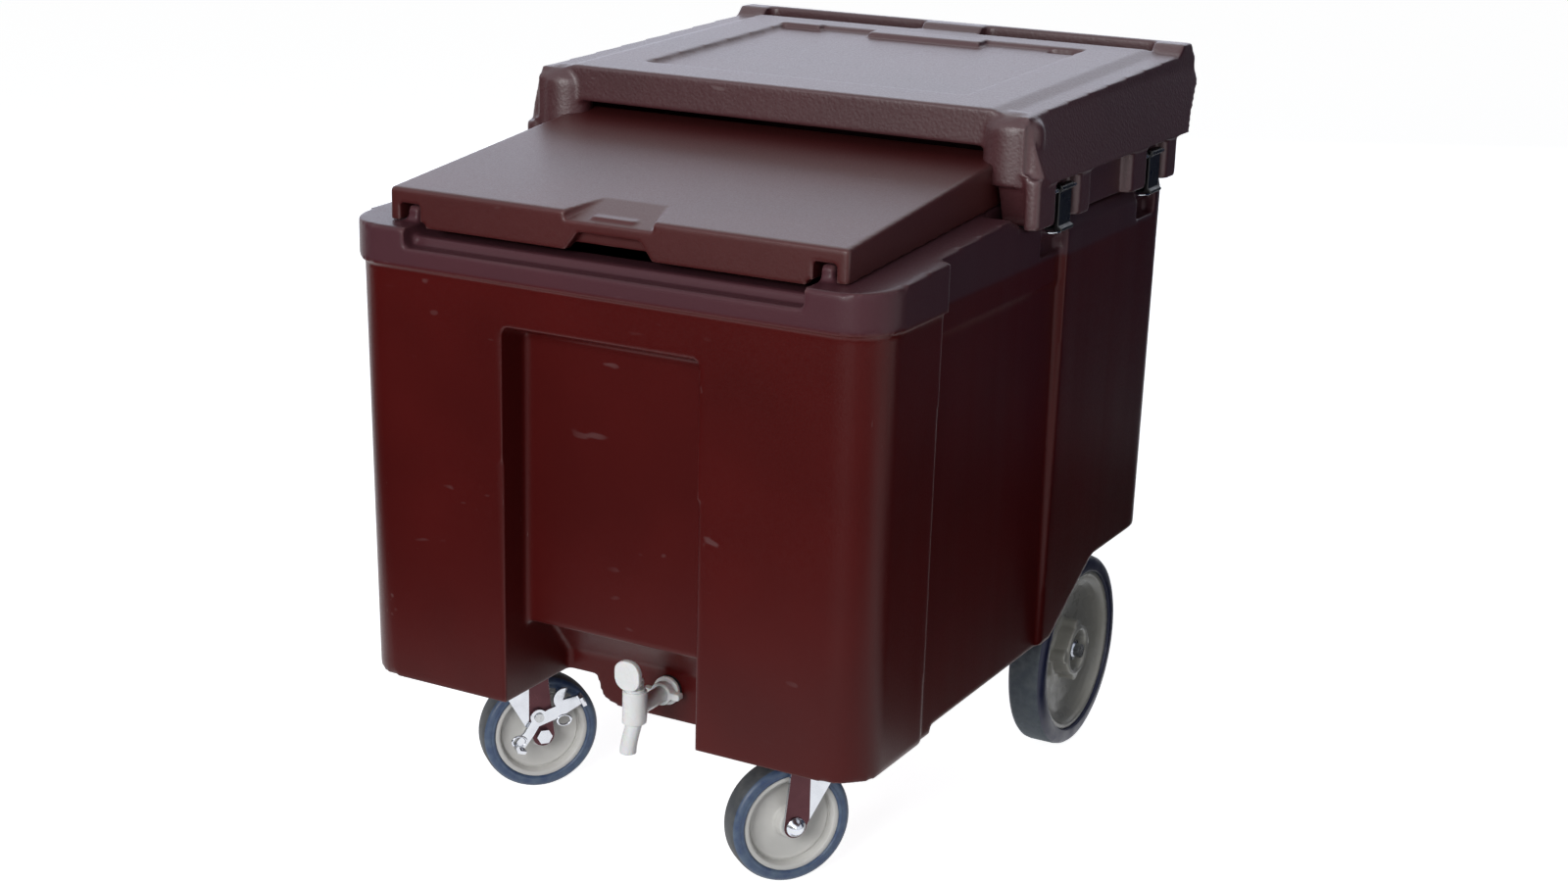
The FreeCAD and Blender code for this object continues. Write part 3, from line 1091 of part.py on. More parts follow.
def rear_wheel(side, sign):
    """Dished wheel with a lobed cup round the nut, its tyre and bush, and the washer and nut."""
    rim_low = "rear_rim_radius - rear_rim_depth"
    web_low = "-rear_dish - rear_web_half"
    web_high = "-rear_dish + rear_web_half"
    outline = [("rear_bush_radius", "-rear_hub_half"), ("rear_hub_radius", "-rear_hub_half"),
               ("rear_hub_radius", web_low), (rim_low, web_low), (rim_low, "-rear_core_half"),
               ("rear_rim_radius", "-rear_core_half"), ("rear_rim_radius", "rear_core_half"),
               (rim_low, "rear_core_half"), (rim_low, web_high), ("rear_cup_radius", web_high),
               ("rear_cup_radius", "rear_cup_top"), ("rear_hollow_radius", "rear_cup_top"),
               ("rear_hollow_radius", "rear_seat"), ("rear_bush_radius", "rear_seat")]
    if sign < 0:
        outline = [(radius, f"-({along})") for radius, along in outline]
    core = turned(f"rear_core_{side}", "x", outline)
    lobes = [("hub_lobe_place * cos({0})".format(angle), "hub_lobe_place * sin({0})".format(angle),
              "hub_lobe_radius") for angle in range(45, 360, 90)]
    pad(core, "YZ", lobes, f"{sign} * ({web_high})", "hub_lobe_height", sign)
    cut(core, "YZ", [("0", "0", "rear_hollow_radius")], f"{sign} * rear_seat", "hub_lobe_height", sign)
    hub = (f"{sign} * {WHEEL_MIDDLE}", "rear_axle_depth", AXLE_HIGH)
    place(core, *hub)
    place(tyre(f"rear_tyre_{side}", "x", "rear_rim_radius", "rear_wheel_radius",
               "rear_tyre_half", "rear_tyre_round"), *hub)
    place(ring(f"rear_bush_{side}", "x", "rear_axle_radius + axle_clearance", "rear_bush_radius",
               f"{-sign} * (rear_hub_half + bush_stand)", f"{sign} * (rear_seat + bush_stand)"), *hub)
    end = f"({WASHER_INNER} + washer_thickness)"
    place(block(f"rear_washer_{side}", "YZ", [("0", "0", "washer_radius"),
                                              ("0", "0", "rear_axle_radius")],
                f"{sign} * {WASHER_INNER}", "washer_thickness", sign),
          "0", "rear_axle_depth", AXLE_HIGH)
    place(block(f"axle_nut_{side}", "YZ", [hexagon("axle_nut_radius"), ("0", "0", "rear_axle_radius")],
                f"{sign} * {end}", "axle_nut_height", sign), "0", "rear_axle_depth", AXLE_HIGH)


SIDES = (("right", 1), ("left", -1))

place(body_shell())
place(drain_shelf())
place(sliding_lid())
place(hood_shell())
place(seal_ring("hood_seal", "seat_height + part_gap", "seal_thickness"))
for pin in pin_rods("latch_pin"):
    place(pin)
for name, side, sign in LATCHES:
    place(latch(name, side, sign), f"{sign} * latch_pin_depth", f"{name}_latch_depth",
          "latch_pin_height")
tap()
for side, sign in SIDES:
    caster(side, sign)
brake()
place(ring("rear_axle", "x", "0", "rear_axle_radius",
           f"-({WASHER_INNER} + washer_thickness + axle_nut_height + axle_end)",
           f"{WASHER_INNER} + washer_thickness + axle_nut_height + axle_end"),
      "0", "rear_axle_depth", AXLE_HIGH)
for side, sign in SIDES:
    rear_bracket(side, sign)
    rear_wheel(side, sign)
doc.recompute()

# Nothing is written before every object of the document has passed.
for thing in doc.Objects:
    if "Invalid" in thing.State or "Error" in thing.State:
        raise RuntimeError(f"{thing.Label} failed: {thing.State}")
for piece in exports:
    if piece.Shape.isNull() or not piece.Shape.isValid() or not piece.Shape.Solids:
        raise RuntimeError(f"{piece.Label} has no valid shape")
os.makedirs("parts", exist_ok=True)
for piece in exports:
    piece.Shape.exportStep(f"parts/{piece.Label}.step")
    print(piece.Label, len(piece.Shape.Solids), round(piece.Shape.Volume), piece.Shape.BoundBox)
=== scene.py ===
"""Looks of a mobile ice bin: a moulded tub, a sliding lid and a latched hood, on four wheels.

Lengths are in metres unless a name or a comment says mm. A noise's scale is written as one over the
size of its patches.
"""
import math

import bpy
from mathutils import Matrix, Vector


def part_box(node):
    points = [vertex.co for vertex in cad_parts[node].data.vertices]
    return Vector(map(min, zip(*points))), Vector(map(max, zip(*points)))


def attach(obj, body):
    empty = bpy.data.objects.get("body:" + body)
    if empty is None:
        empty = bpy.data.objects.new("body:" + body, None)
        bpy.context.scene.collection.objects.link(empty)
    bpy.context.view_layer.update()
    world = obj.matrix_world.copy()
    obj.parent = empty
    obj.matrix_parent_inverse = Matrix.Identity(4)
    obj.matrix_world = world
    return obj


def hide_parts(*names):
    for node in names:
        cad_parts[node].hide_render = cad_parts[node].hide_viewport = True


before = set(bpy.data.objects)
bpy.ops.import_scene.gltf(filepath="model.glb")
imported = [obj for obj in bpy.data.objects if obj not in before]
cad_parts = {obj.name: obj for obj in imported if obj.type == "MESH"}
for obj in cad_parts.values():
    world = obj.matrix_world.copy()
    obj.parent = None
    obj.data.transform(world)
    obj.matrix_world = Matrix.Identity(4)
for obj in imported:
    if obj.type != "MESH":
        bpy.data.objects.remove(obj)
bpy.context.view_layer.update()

# ---------------------------------------------------------------------------------------------
# Camera. It stands in front of the bin, to its right and a little above the hood, with a short
# telephoto lens and a slight tilt, as the photograph was taken.
# ---------------------------------------------------------------------------------------------
CAMERA_PLACE = (1.244, -2.296, 1.123)
CAMERA_LENS_MM = 57.1
CAMERA_TURN, CAMERA_DIP, CAMERA_TILT = 28.7, 16.5, 1.45
bpy.ops.object.camera_add()
camera = bpy.context.object
camera.name = "photo_camera"
camera.data.lens = CAMERA_LENS_MM
camera.matrix_world = (Matrix.Translation(CAMERA_PLACE)
                       @ Matrix.Rotation(math.radians(CAMERA_TURN), 4, "Z")
                       @ Matrix.Rotation(math.radians(90 - CAMERA_DIP), 4, "X")
                       @ Matrix.Rotation(math.radians(CAMERA_TILT), 4, "Z"))
bpy.context.scene.camera = camera
bpy.context.scene.view_settings.view_transform = "Standard"


# ---------------------------------------------------------------------------------------------
# Studio. A white paper floor without an edge in view, a broad lamp in front, a narrow one for the
# rounded corner, a soft one above, a long low one behind that the tops mirror, and dark cloths out
# of view that keep the upright faces from mirroring the paper.
# ---------------------------------------------------------------------------------------------
def linear(hex_colour):
    """A written sRGB colour as the linear one that a shader takes."""
    parts = [int(hex_colour[i:i + 2], 16) / 255 for i in (1, 3, 5)]
    return tuple(p / 12.92 if p <= 0.04045 else ((p + 0.055) / 1.055) ** 2.4 for p in parts) + (1,)


def add(tree, kind, inputs=None, **settings):
    """Add a node with its settings, and give each input a value or another node's output."""
    made = tree.nodes.new(kind)
    for name, value in settings.items():
        setattr(made, name, value)
    for name, value in (inputs or {}).items():
        if isinstance(value, bpy.types.NodeSocket):
            tree.links.new(value, made.inputs[name])
        else:
            made.inputs[name].default_value = value
    return made


def seen_directly(tree):
    """One for a ray that shows the background itself, in the picture, in a mirror or through glass."""
    path = add(tree, "ShaderNodeLightPath")
    first = add(tree, "ShaderNodeMath", {0: path.outputs["Is Camera Ray"],
                                         1: path.outputs["Is Glossy Ray"]}, operation="MAXIMUM")
    return add(tree, "ShaderNodeMath", {0: first.outputs[0], 1: path.outputs["Is Transmission Ray"]},
               operation="MAXIMUM").outputs[0]


def new_material(name):
    """An empty material and its node tree."""
    material = bpy.data.materials.new(name)
    material.use_nodes = True
    material.node_tree.nodes.clear()
    return material, material.node_tree


def only(piece):
    """Make this piece the one that the next operators act on."""
    bpy.ops.object.select_all(action="DESELECT")
    piece.select_set(True)
    bpy.context.view_layer.objects.active = piece


FLOOR_SIZE = 60
FLOOR_GLOW = 0.9
ROOM_LIGHT = 0.1

paper, tree = new_material("white_paper_sweep")
matt = add(tree, "ShaderNodeBsdfDiffuse", {"Color": linear("#eceef0")})
glow = add(tree, "ShaderNodeEmission", {"Color": (1, 1, 1, 1), "Strength": FLOOR_GLOW})
lifted = add(tree, "ShaderNodeAddShader", {0: matt.outputs[0], 1: glow.outputs[0]})
shown = add(tree, "ShaderNodeMixShader", {0: seen_directly(tree), 1: matt.outputs[0],
                                          2: lifted.outputs[0]})
add(tree, "ShaderNodeOutputMaterial", {"Surface": shown.outputs[0]})

bpy.ops.object.select_all(action="DESELECT")
bpy.ops.mesh.primitive_plane_add(size=FLOOR_SIZE, location=(0, 0, 0))
floor = bpy.context.object
floor.name = "paper_floor"
floor.data.materials.append(paper)

world = bpy.data.worlds.new("studio_room")
bpy.context.scene.world = world
world.use_nodes = True
tree = world.node_tree
tree.nodes.clear()
room = add(tree, "ShaderNodeBackground", {"Color": (1, 1, 1, 1), "Strength": ROOM_LIGHT})
white = add(tree, "ShaderNodeBackground", {"Color": linear("#f6f9ff"), "Strength": 1.0})
chosen = add(tree, "ShaderNodeMixShader", {0: seen_directly(tree), 1: room.outputs[0],
                                           2: white.outputs[0]})
add(tree, "ShaderNodeOutputWorld", {"Surface": chosen.outputs[0]})


def cloth(name, colour, glow, diffuse, *sheets):
    """Dark cloth out of view: it dims what the bin mirrors, and if diffuse also what lights it.

    It casts no shadow. Each sheet has its place, width, height and turn in degrees.
    """
    material, tree = new_material(name)
    weave = add(tree, "ShaderNodeBsdfDiffuse", {"Color": linear(colour)})
    faint = add(tree, "ShaderNodeEmission", {"Color": linear(colour), "Strength": glow})
    face = add(tree, "ShaderNodeAddShader", {0: weave.outputs[0], 1: faint.outputs[0]})
    add(tree, "ShaderNodeOutputMaterial", {"Surface": face.outputs[0]})
    for number, (place, width, height, turn) in enumerate(sheets):
        bpy.ops.mesh.primitive_plane_add(size=1, location=place,
                                         rotation=[math.radians(angle) for angle in turn])
        sheet = bpy.context.object
        sheet.name = f"{name}_{number}"
        sheet.scale = (width, height, 1)
        sheet.data.materials.append(material)
        sheet.visible_camera = False
        sheet.visible_shadow = False
        sheet.visible_diffuse = diffuse


cloth("wine_cloth", "#241215", 0.0, False,
      ((-1.3, -2.1, 0.5), 4.6, 1.2, (84, 0, -28)),
      ((-1.0, -1.5, 0.004), 3.6, 1.9, (0, 0, -28)),
      ((1.35, -1.4, 0.004), 1.5, 1.6, (0, 0, 45)))
cloth("blue_grey_cloth", "#2c3344", 0.6, True,
      ((1.1, 2.85, 1.0), 4.8, 2.0, (90, 0, 93)),
      ((0.75, 2.6, 0.004), 4.4, 0.7, (0, 0, 93)))
cloth("grey_cloth", "#1a181c", 0.3, True,
      ((0.95, 0.62, 0.005), 1.2, 1.24, (0, 0, 0)))


def lamp(name, place, width, height, power, tint="#ffffff", aim=(0, 0, 0.4)):
    """A soft box that faces the bin, with its power in watts."""
    bpy.ops.object.light_add(type="AREA", location=place)
    light = bpy.context.object
    light.name = name
    light.data.shape = "RECTANGLE"
    light.data.size, light.data.size_y = width, height
    light.data.energy = power
    light.data.color = linear(tint)[:3]
    light.rotation_euler = (Vector(aim) - Vector(place)).to_track_quat("-Z", "Y").to_euler()


lamp("front_box", (0.1, -3.2, 1.35), 1.5, 1.5, 62)
lamp("corner_strip", (1.75, -1.35, 0.8), 0.2, 1.3, 0.8)
lamp("top_box", (-0.4, 0.9, 2.6), 2.0, 1.4, 6)
lamp("back_box", (-1.9, 3.3, 1.75), 6.0, 2.3, 54, "#dbe7ff", (0, 0, 0.9))

# ---------------------------------------------------------------------------------------------
# Tub. One rotationally moulded polyethylene shell, filled with foam. The mould leaves every edge
# round, a fine orange-peel skin on the faces and slow ripples along the tall sides.
# ---------------------------------------------------------------------------------------------
# The rim band's greyer colour is a painted reflection of the pale sky on the band.
BAND_PAINTED_SKY = "#54404a"
SCRATCH_COLOUR = "#9a8788"
BAND_BOTTOM = 0.588


def moulded_polyethylene(name, base, worn, rough, peel_mm, peel, ripple=0.0, leather_mm=0.0,
                         leather=0.0, painted_sky_from=None, shine=0.5, scratched=0.3):
    """Satin moulded plastic: slow drift of colour, paler rubbed edges, fine scratches and its skin.

    Above a height, if one is given, the colour is greyer: a painted reflection of the pale sky.
    """
    material, tree = new_material(name)
    place = add(tree, "ShaderNodeTexCoord").outputs["Object"]
    drift = add(tree, "ShaderNodeTexNoise", {"Vector": place, "Scale": 1 / 0.16, "Detail": 2.0})
    tone = add(tree, "ShaderNodeMapRange", {"Value": drift.outputs["Fac"], "From Min": 0.3,
                                            "From Max": 0.7, "To Min": 0.88, "To Max": 1.12})
    toned = add(tree, "ShaderNodeHueSaturation", {"Color": linear(base), "Value": tone.outputs[0]})
    body = toned.outputs["Color"]
    # Painted reflection: above that height the colour is mixed halfway towards a pale grey, for the sky
    # that the band mirrors.
    if painted_sky_from is not None:
        height = add(tree, "ShaderNodeSeparateXYZ", {"Vector": place})
        upper = add(tree, "ShaderNodeMapRange", {"Value": height.outputs["Z"], "From Min": painted_sky_from,
                                                 "From Max": painted_sky_from + 0.004, "To Min": 0.0,
                                                 "To Max": 0.5})
        painted_sky_mix = add(tree, "ShaderNodeMix", {"Factor": upper.outputs[0], "A": body,
                                            "B": linear(BAND_PAINTED_SKY)}, data_type="RGBA")
        body = painted_sky_mix.outputs["Result"]
    scuffs = add(tree, "ShaderNodeTexNoise", {"Vector": place, "Scale": 1 / 0.02, "Detail": 4.0})
    edges = add(tree, "ShaderNodeNewGeometry").outputs["Pointiness"]
    rubbed = add(tree, "ShaderNodeMapRange", {"Value": edges, "From Min": 0.53, "From Max": 0.62,
                                              "To Min": 0.0, "To Max": 1.0})
    wear = add(tree, "ShaderNodeMath", {0: rubbed.outputs[0], 1: scuffs.outputs["Fac"]},
               operation="MULTIPLY")
    edged = add(tree, "ShaderNodeMix", {"Factor": wear.outputs[0], "A": body, "B": linear(worn)},
                data_type="RGBA")
    along = add(tree, "ShaderNodeMapping", {"Vector": place, "Rotation": (0.2, 0.1, 0.5),
                                            "Scale": (1 / 0.03, 1 / 0.0012, 1 / 0.012)})
    hairs = add(tree, "ShaderNodeTexNoise", {"Vector": along.outputs[0], "Scale": 1.0, "Detail": 1.0})
    thin = add(tree, "ShaderNodeMapRange", {"Value": hairs.outputs["Fac"], "From Min": 0.7,
                                            "From Max": 0.76, "To Min": 0.0, "To Max": 1.0})
    handled = add(tree, "ShaderNodeTexNoise", {"Vector": place, "Scale": 1 / 0.11, "Detail": 1.0})
    zone = add(tree, "ShaderNodeMapRange", {"Value": handled.outputs["Fac"], "From Min": 0.55,
                                            "From Max": 0.66, "To Min": 0.0, "To Max": scratched})
    scratches = add(tree, "ShaderNodeMath", {0: thin.outputs[0], 1: zone.outputs[0]},
                    operation="MULTIPLY")
    colour = add(tree, "ShaderNodeMix", {"Factor": scratches.outputs[0], "A": edged.outputs["Result"],
                                         "B": linear(SCRATCH_COLOUR)}, data_type="RGBA")
    skin = add(tree, "ShaderNodeTexNoise", {"Vector": place, "Scale": 1000 / peel_mm, "Detail": 3.0,
                                            "Roughness": 0.6})
    gloss = add(tree, "ShaderNodeMapRange", {"Value": skin.outputs["Fac"], "From Min": 0.3,
                                             "From Max": 0.7, "To Min": rough - 0.05,
                                             "To Max": rough + 0.06})
    relief = add(tree, "ShaderNodeBump", {"Height": skin.outputs["Fac"], "Strength": peel,
                                          "Distance": 0.0004})
    if ripple:
        tall = add(tree, "ShaderNodeMapping", {"Vector": place, "Scale": (1 / 0.04, 1 / 0.04, 1 / 0.5)})
        waves = add(tree, "ShaderNodeTexNoise", {"Vector": tall.outputs[0], "Scale": 1.0, "Detail": 1.0})
        relief = add(tree, "ShaderNodeBump", {"Height": waves.outputs["Fac"], "Strength": ripple,
                                              "Distance": 0.002, "Normal": relief.outputs[0]})
    if leather:
        cells = add(tree, "ShaderNodeTexVoronoi", {"Vector": place, "Scale": 1000 / leather_mm,
                                                   "Randomness": 1.0}, feature="SMOOTH_F1")
        relief = add(tree, "ShaderNodeBump", {"Height": cells.outputs["Distance"], "Strength": leather,
                                              "Distance": 0.0006, "Normal": relief.outputs[0]})
    shader = add(tree, "ShaderNodeBsdfPrincipled", {"Base Color": colour.outputs["Result"],
                                                    "Roughness": gloss.outputs[0], "IOR": 1.5,
                                                    "Specular IOR Level": shine,
                                                    "Normal": relief.outputs[0]})
    add(tree, "ShaderNodeOutputMaterial", {"Surface": shader.outputs[0]})
    return material


def applied(piece, kind, **settings):
    """Put a modifier on a piece and apply it."""
    only(piece)
    modifier = piece.modifiers.new(kind.lower(), kind)
    for name, value in settings.items():
        setattr(modifier, name, value)
    bpy.ops.object.modifier_apply(modifier=modifier.name)


def copy_of_cad(node, name):
    """A merged copy of a CAD node's outside."""
    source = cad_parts[node]
    piece = bpy.data.objects.new(name, source.data.copy())
    bpy.context.scene.collection.objects.link(piece)
    only(piece)
    bpy.ops.object.mode_set(mode="EDIT")
    bpy.ops.mesh.select_all(action="SELECT")
    bpy.ops.mesh.remove_doubles(threshold=0.00001)
    bpy.ops.mesh.dissolve_limited(angle_limit=math.radians(0.5))
    bpy.ops.object.mode_set(mode="OBJECT")
    return piece


def finished(piece, body, slot, material, *nodes):
    """Dress a piece, set it on its body and let it stand for its CAD nodes."""
    piece.data.materials.clear()
    piece.data.materials.append(material)
    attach(piece, body)
    if nodes:
        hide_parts(*nodes)


def melted(piece, cell, passes, kept):
    """Round every edge of a moulded piece a little, as the mould does, and thin the flats.

    The piece is rebuilt in cells, smoothed that many passes, and that share of its faces is kept.
    """
    applied(piece, "REMESH", mode="VOXEL", voxel_size=cell)
    applied(piece, "SMOOTH", factor=0.5, iterations=passes)
    applied(piece, "DECIMATE", ratio=kept)
    only(piece)
    bpy.ops.object.shade_smooth()


# The band above BAND_BOTTOM gets the painted reflection of the sky.
tub_plastic = moulded_polyethylene("moulded_polyethylene_tub", "#4b0e0d", "#8a6664", 0.34, 2.2, 0.25,
                                   ripple=0.25, painted_sky_from=BAND_BOTTOM, shine=0.2, scratched=0.15)
tub = copy_of_cad("body_shell", "tub_moulding")
tub_cell = 0.003
melted(tub, tub_cell, 3, 0.26)
finished(tub, "tub", "shell", tub_plastic, "body_shell")

# ---------------------------------------------------------------------------------------------
# Drain shelf. A slotted white polyethylene board that lies on the tub's floor and keeps the ice
# out of the melt water. It is left as its solid, under a finely scratched skin.
# ---------------------------------------------------------------------------------------------
def coloured(material, *nodes):
    """Give CAD nodes that stay as they are their material."""
    for node in nodes:
        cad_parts[node].data.materials.clear()
        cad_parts[node].data.materials.append(material)


shelf_plastic = moulded_polyethylene("moulded_polyethylene_shelf", "#dcdcd8", "#f2f2ee", 0.5, 1.5, 0.3)
coloured(shelf_plastic, "drain_shelf")

# ---------------------------------------------------------------------------------------------
# Lid. A moulded slab with a scoop and a raised pad in its front edge and a finger pull below. It
# slides back on two rails.
# ---------------------------------------------------------------------------------------------
lid_plastic = moulded_polyethylene("moulded_polyethylene_lid", "#491a1a", "#9d8482", 0.4, 1.6, 0.2)
lid = copy_of_cad("sliding_lid", "lid_moulding")
melted(lid, 0.0018, 3, 0.35)
finished(lid, "lid", "lid", lid_plastic, "sliding_lid")

# ---------------------------------------------------------------------------------------------
# Hood. The same moulded plastic, with a coarser leather-like skin, a shallow tray on top, a push
# handle along its rear, a half-round post on each front corner, and below it a ring of black
# sponge rubber that lies on the tub's seat.
# ---------------------------------------------------------------------------------------------
def joined(*pieces):
    """Join pieces into the first."""
    bpy.ops.object.select_all(action="DESELECT")
    for piece in pieces:
        piece.select_set(True)
    bpy.context.view_layer.objects.active = pieces[0]
    bpy.ops.object.join()
    return pieces[0]


hood_plastic = moulded_polyethylene("moulded_polyethylene_hood", "#4a2529", "#8f7a7c", 0.42, 2.0, 0.3,
                                    leather_mm=3.2, leather=0.35, shine=0.8)
hood = copy_of_cad("hood_shell", "hood_moulding")
POST_X, POST_Y, POST_Z = 0.2655, -0.0515, 0.7265
POST_RADIUS = 0.0205
POST_STRETCH = (1.5, 1.24, 0.9)
POST_LENGTH = 0.054
posts = []
for sign in (1, -1):
    centre = (POST_X * sign, POST_Y, POST_Z)
    bpy.ops.object.select_all(action="DESELECT")
    bpy.ops.mesh.primitive_uv_sphere_add(segments=32, ring_count=16, radius=POST_RADIUS,
                                         location=centre)
    post = bpy.context.object
    bpy.ops.object.transform_apply(location=True, rotation=True, scale=True)
    bpy.ops.object.mode_set(mode="EDIT")
    bpy.ops.mesh.select_all(action="SELECT")
    bpy.ops.transform.resize(value=POST_STRETCH, center_override=centre)
    bpy.ops.mesh.bisect(plane_co=(0, 0, POST_Z), plane_no=(0, 0, 1), clear_inner=True)
    bpy.ops.mesh.extrude_region_move(TRANSFORM_OT_translate={"value": (0, 0, -POST_LENGTH)})
    bpy.ops.mesh.select_all(action="DESELECT")
    bpy.ops.mesh.select_non_manifold()
    bpy.ops.mesh.fill()
    bpy.ops.mesh.select_all(action="SELECT")
    bpy.ops.mesh.normals_make_consistent(inside=False)
    bpy.ops.object.mode_set(mode="OBJECT")
    posts.append(post)
hood = joined(hood, *posts)
melted(hood, 0.002, 10, 0.3)
finished(hood, "hood", "shell", hood_plastic, "hood_shell")


def rubber(name, base, dust, dusty, rough, grain_mm, grain):
    """Moulded rubber: its own colour under uneven pale dust, with a fine grain."""
    material, tree = new_material(name)
    place = add(tree, "ShaderNodeTexCoord").outputs["Object"]
    cloud = add(tree, "ShaderNodeTexNoise", {"Vector": place, "Scale": 1 / 0.012, "Detail": 4.0})
    cover = add(tree, "ShaderNodeMapRange", {"Value": cloud.outputs["Fac"], "From Min": 0.35,
                                             "From Max": 0.7, "To Min": 0.0, "To Max": dusty})
    colour = add(tree, "ShaderNodeMix", {"Factor": cover.outputs[0], "A": linear(base),
                                         "B": linear(dust)}, data_type="RGBA")
    pores = add(tree, "ShaderNodeTexNoise", {"Vector": place, "Scale": 1000 / grain_mm, "Detail": 2.0})
    gloss = add(tree, "ShaderNodeMapRange", {"Value": cloud.outputs["Fac"], "From Min": 0.35,
                                             "From Max": 0.7, "To Min": rough - 0.06,
                                             "To Max": rough + 0.1})
    relief = add(tree, "ShaderNodeBump", {"Height": pores.outputs["Fac"], "Strength": grain,
                                          "Distance": 0.0003})
    shader = add(tree, "ShaderNodeBsdfPrincipled", {"Base Color": colour.outputs["Result"],
                                                    "Roughness": gloss.outputs[0], "IOR": 1.52,
                                                    "Normal": relief.outputs[0]})
    add(tree, "ShaderNodeOutputMaterial", {"Surface": shader.outputs[0]})
    return material


sponge_rubber = rubber("sponge_rubber_seal", "#0c0c0d", "#2b2b2d", 0.4, 0.8, 1.2, 0.6)
coloured(sponge_rubber, "hood_seal", "tap_seal")

# ---------------------------------------------------------------------------------------------
# Latches. Black rubber straps that hang on steel pins between the hood's tabs. Each has three ribs
# for the fingers, and a bright steel staple in the tub takes its nose.
# ---------------------------------------------------------------------------------------------
def placed_copy(piece, name, matrix):
    """A copy with its own mesh, moved or mirrored to its place."""
    twin = bpy.data.objects.new(name, piece.data.copy())
    bpy.context.scene.collection.objects.link(twin)
    twin.matrix_world = matrix
    only(twin)
    bpy.ops.object.transform_apply(location=True, rotation=True, scale=True)
    if matrix.determinant() < 0:
        bpy.ops.object.mode_set(mode="EDIT")
        bpy.ops.mesh.select_all(action="SELECT")
        bpy.ops.mesh.normals_make_consistent(inside=False)
        bpy.ops.object.mode_set(mode="OBJECT")
    return twin


def ring_of_wire(name, wire, radius, centre, axis, stretch):
    """A ring of round wire, made by spinning its section round the axis, then stretched."""
    axis = Vector(axis).normalized()
    out = axis.orthogonal().normalized()
    bpy.ops.object.select_all(action="DESELECT")
    bpy.ops.mesh.primitive_circle_add(vertices=12, radius=wire, location=Vector(centre) + out * radius,
                                      rotation=axis.cross(out).to_track_quat("Z", "Y").to_euler())
    ring = bpy.context.object
    ring.name = name
    bpy.ops.object.transform_apply(location=True, rotation=True, scale=True)
    bpy.ops.object.mode_set(mode="EDIT")
    bpy.ops.mesh.select_all(action="SELECT")
    bpy.ops.mesh.spin(steps=32, angle=2 * math.pi, center=centre, axis=axis)
    bpy.ops.mesh.select_all(action="SELECT")
    bpy.ops.mesh.remove_doubles(threshold=0.000001)
    bpy.ops.transform.resize(value=stretch, center_override=centre)
    bpy.ops.mesh.normals_make_consistent(inside=False)
    bpy.ops.object.mode_set(mode="OBJECT")
    bpy.ops.object.shade_smooth()
    return ring


def bright_metal(name, colour, rough, smear_mm):
    """Plated steel: a clear mirror with faint smears that dull it."""
    material, tree = new_material(name)
    place = add(tree, "ShaderNodeTexCoord").outputs["Object"]
    smears = add(tree, "ShaderNodeTexNoise", {"Vector": place, "Scale": 1000 / smear_mm,
                                              "Detail": 3.0})
    dull = add(tree, "ShaderNodeMapRange", {"Value": smears.outputs["Fac"], "From Min": 0.3,
                                            "From Max": 0.75, "To Min": rough * 0.75,
                                            "To Max": rough * 1.4})
    tone = add(tree, "ShaderNodeMapRange", {"Value": smears.outputs["Fac"], "From Min": 0.3,
                                            "From Max": 0.75, "To Min": 1.03, "To Max": 0.92})
    tint = add(tree, "ShaderNodeHueSaturation", {"Color": linear(colour), "Value": tone.outputs[0]})
    shader = add(tree, "ShaderNodeBsdfPrincipled", {"Base Color": tint.outputs[0], "Metallic": 1.0,
                                                    "Roughness": dull.outputs[0]})
    add(tree, "ShaderNodeOutputMaterial", {"Surface": shader.outputs[0]})
    return material


LATCH_PITCH = 0.248
LATCH_PLACES = (("front_right", 0.0, 1), ("rear_right", LATCH_PITCH, 1),
                ("front_left", 0.0, -1), ("rear_left", LATCH_PITCH, -1))
STRAP_WIDTH_KEPT, STRAP_LENGTH_KEPT = 0.78, 0.7
RIB_RADIUS, RIB_PITCH, RIB_START = 0.0016, 0.005, 0.008
STAPLE_X, STAPLE_HEIGHT = 0.2885, 0.017
strap_rubber = rubber("moulded_rubber_strap", "#08080a", "#141519", 0.3, 0.32, 2.0, 0.15)
staple_steel = bright_metal("bright_zinc_staple", "#c9ccd2", 0.12, 6.0)
pin_steel = bright_metal("drawn_stainless_pin", "#b9bbbd", 0.22, 3.0)
low, high = (Vector(corner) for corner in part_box("latch_front_right"))
middle_y = (low.y + high.y) / 2
strap = copy_of_cad("latch_front_right", "latch_strap_front_right")
ribs = []
for step in range(3):
    bpy.ops.object.select_all(action="DESELECT")
    bpy.ops.mesh.primitive_cylinder_add(vertices=16, radius=RIB_RADIUS, depth=high.y - low.y - 0.008,
                                        location=(high.x - 0.0075, middle_y,
                                                  low.z + RIB_START + RIB_PITCH * step),
                                        rotation=(math.radians(90), 0, 0))
    ribs.append(bpy.context.object)
    bpy.ops.object.transform_apply(location=True, rotation=True, scale=True)
strap = joined(strap, *ribs)
melted(strap, 0.0008, 2, 0.35)
bpy.ops.object.mode_set(mode="EDIT")
bpy.ops.mesh.select_all(action="SELECT")
bpy.ops.transform.resize(value=(1, STRAP_WIDTH_KEPT, 1), center_override=(0, middle_y, 0))
bpy.ops.transform.resize(value=(1, 1, STRAP_LENGTH_KEPT), center_override=(0, 0, high.z))
bpy.ops.object.mode_set(mode="OBJECT")
finished(strap, "latch_front_right", "latch", strap_rubber, "latch_front_right")
staple = ring_of_wire("latch_staple_front_right", 0.0013, 0.010,
                      (STAPLE_X, middle_y, low.z + STAPLE_HEIGHT), (0, 0, 1), (0.85, 1.15, 1))
finished(staple, "tub", "pins", staple_steel)
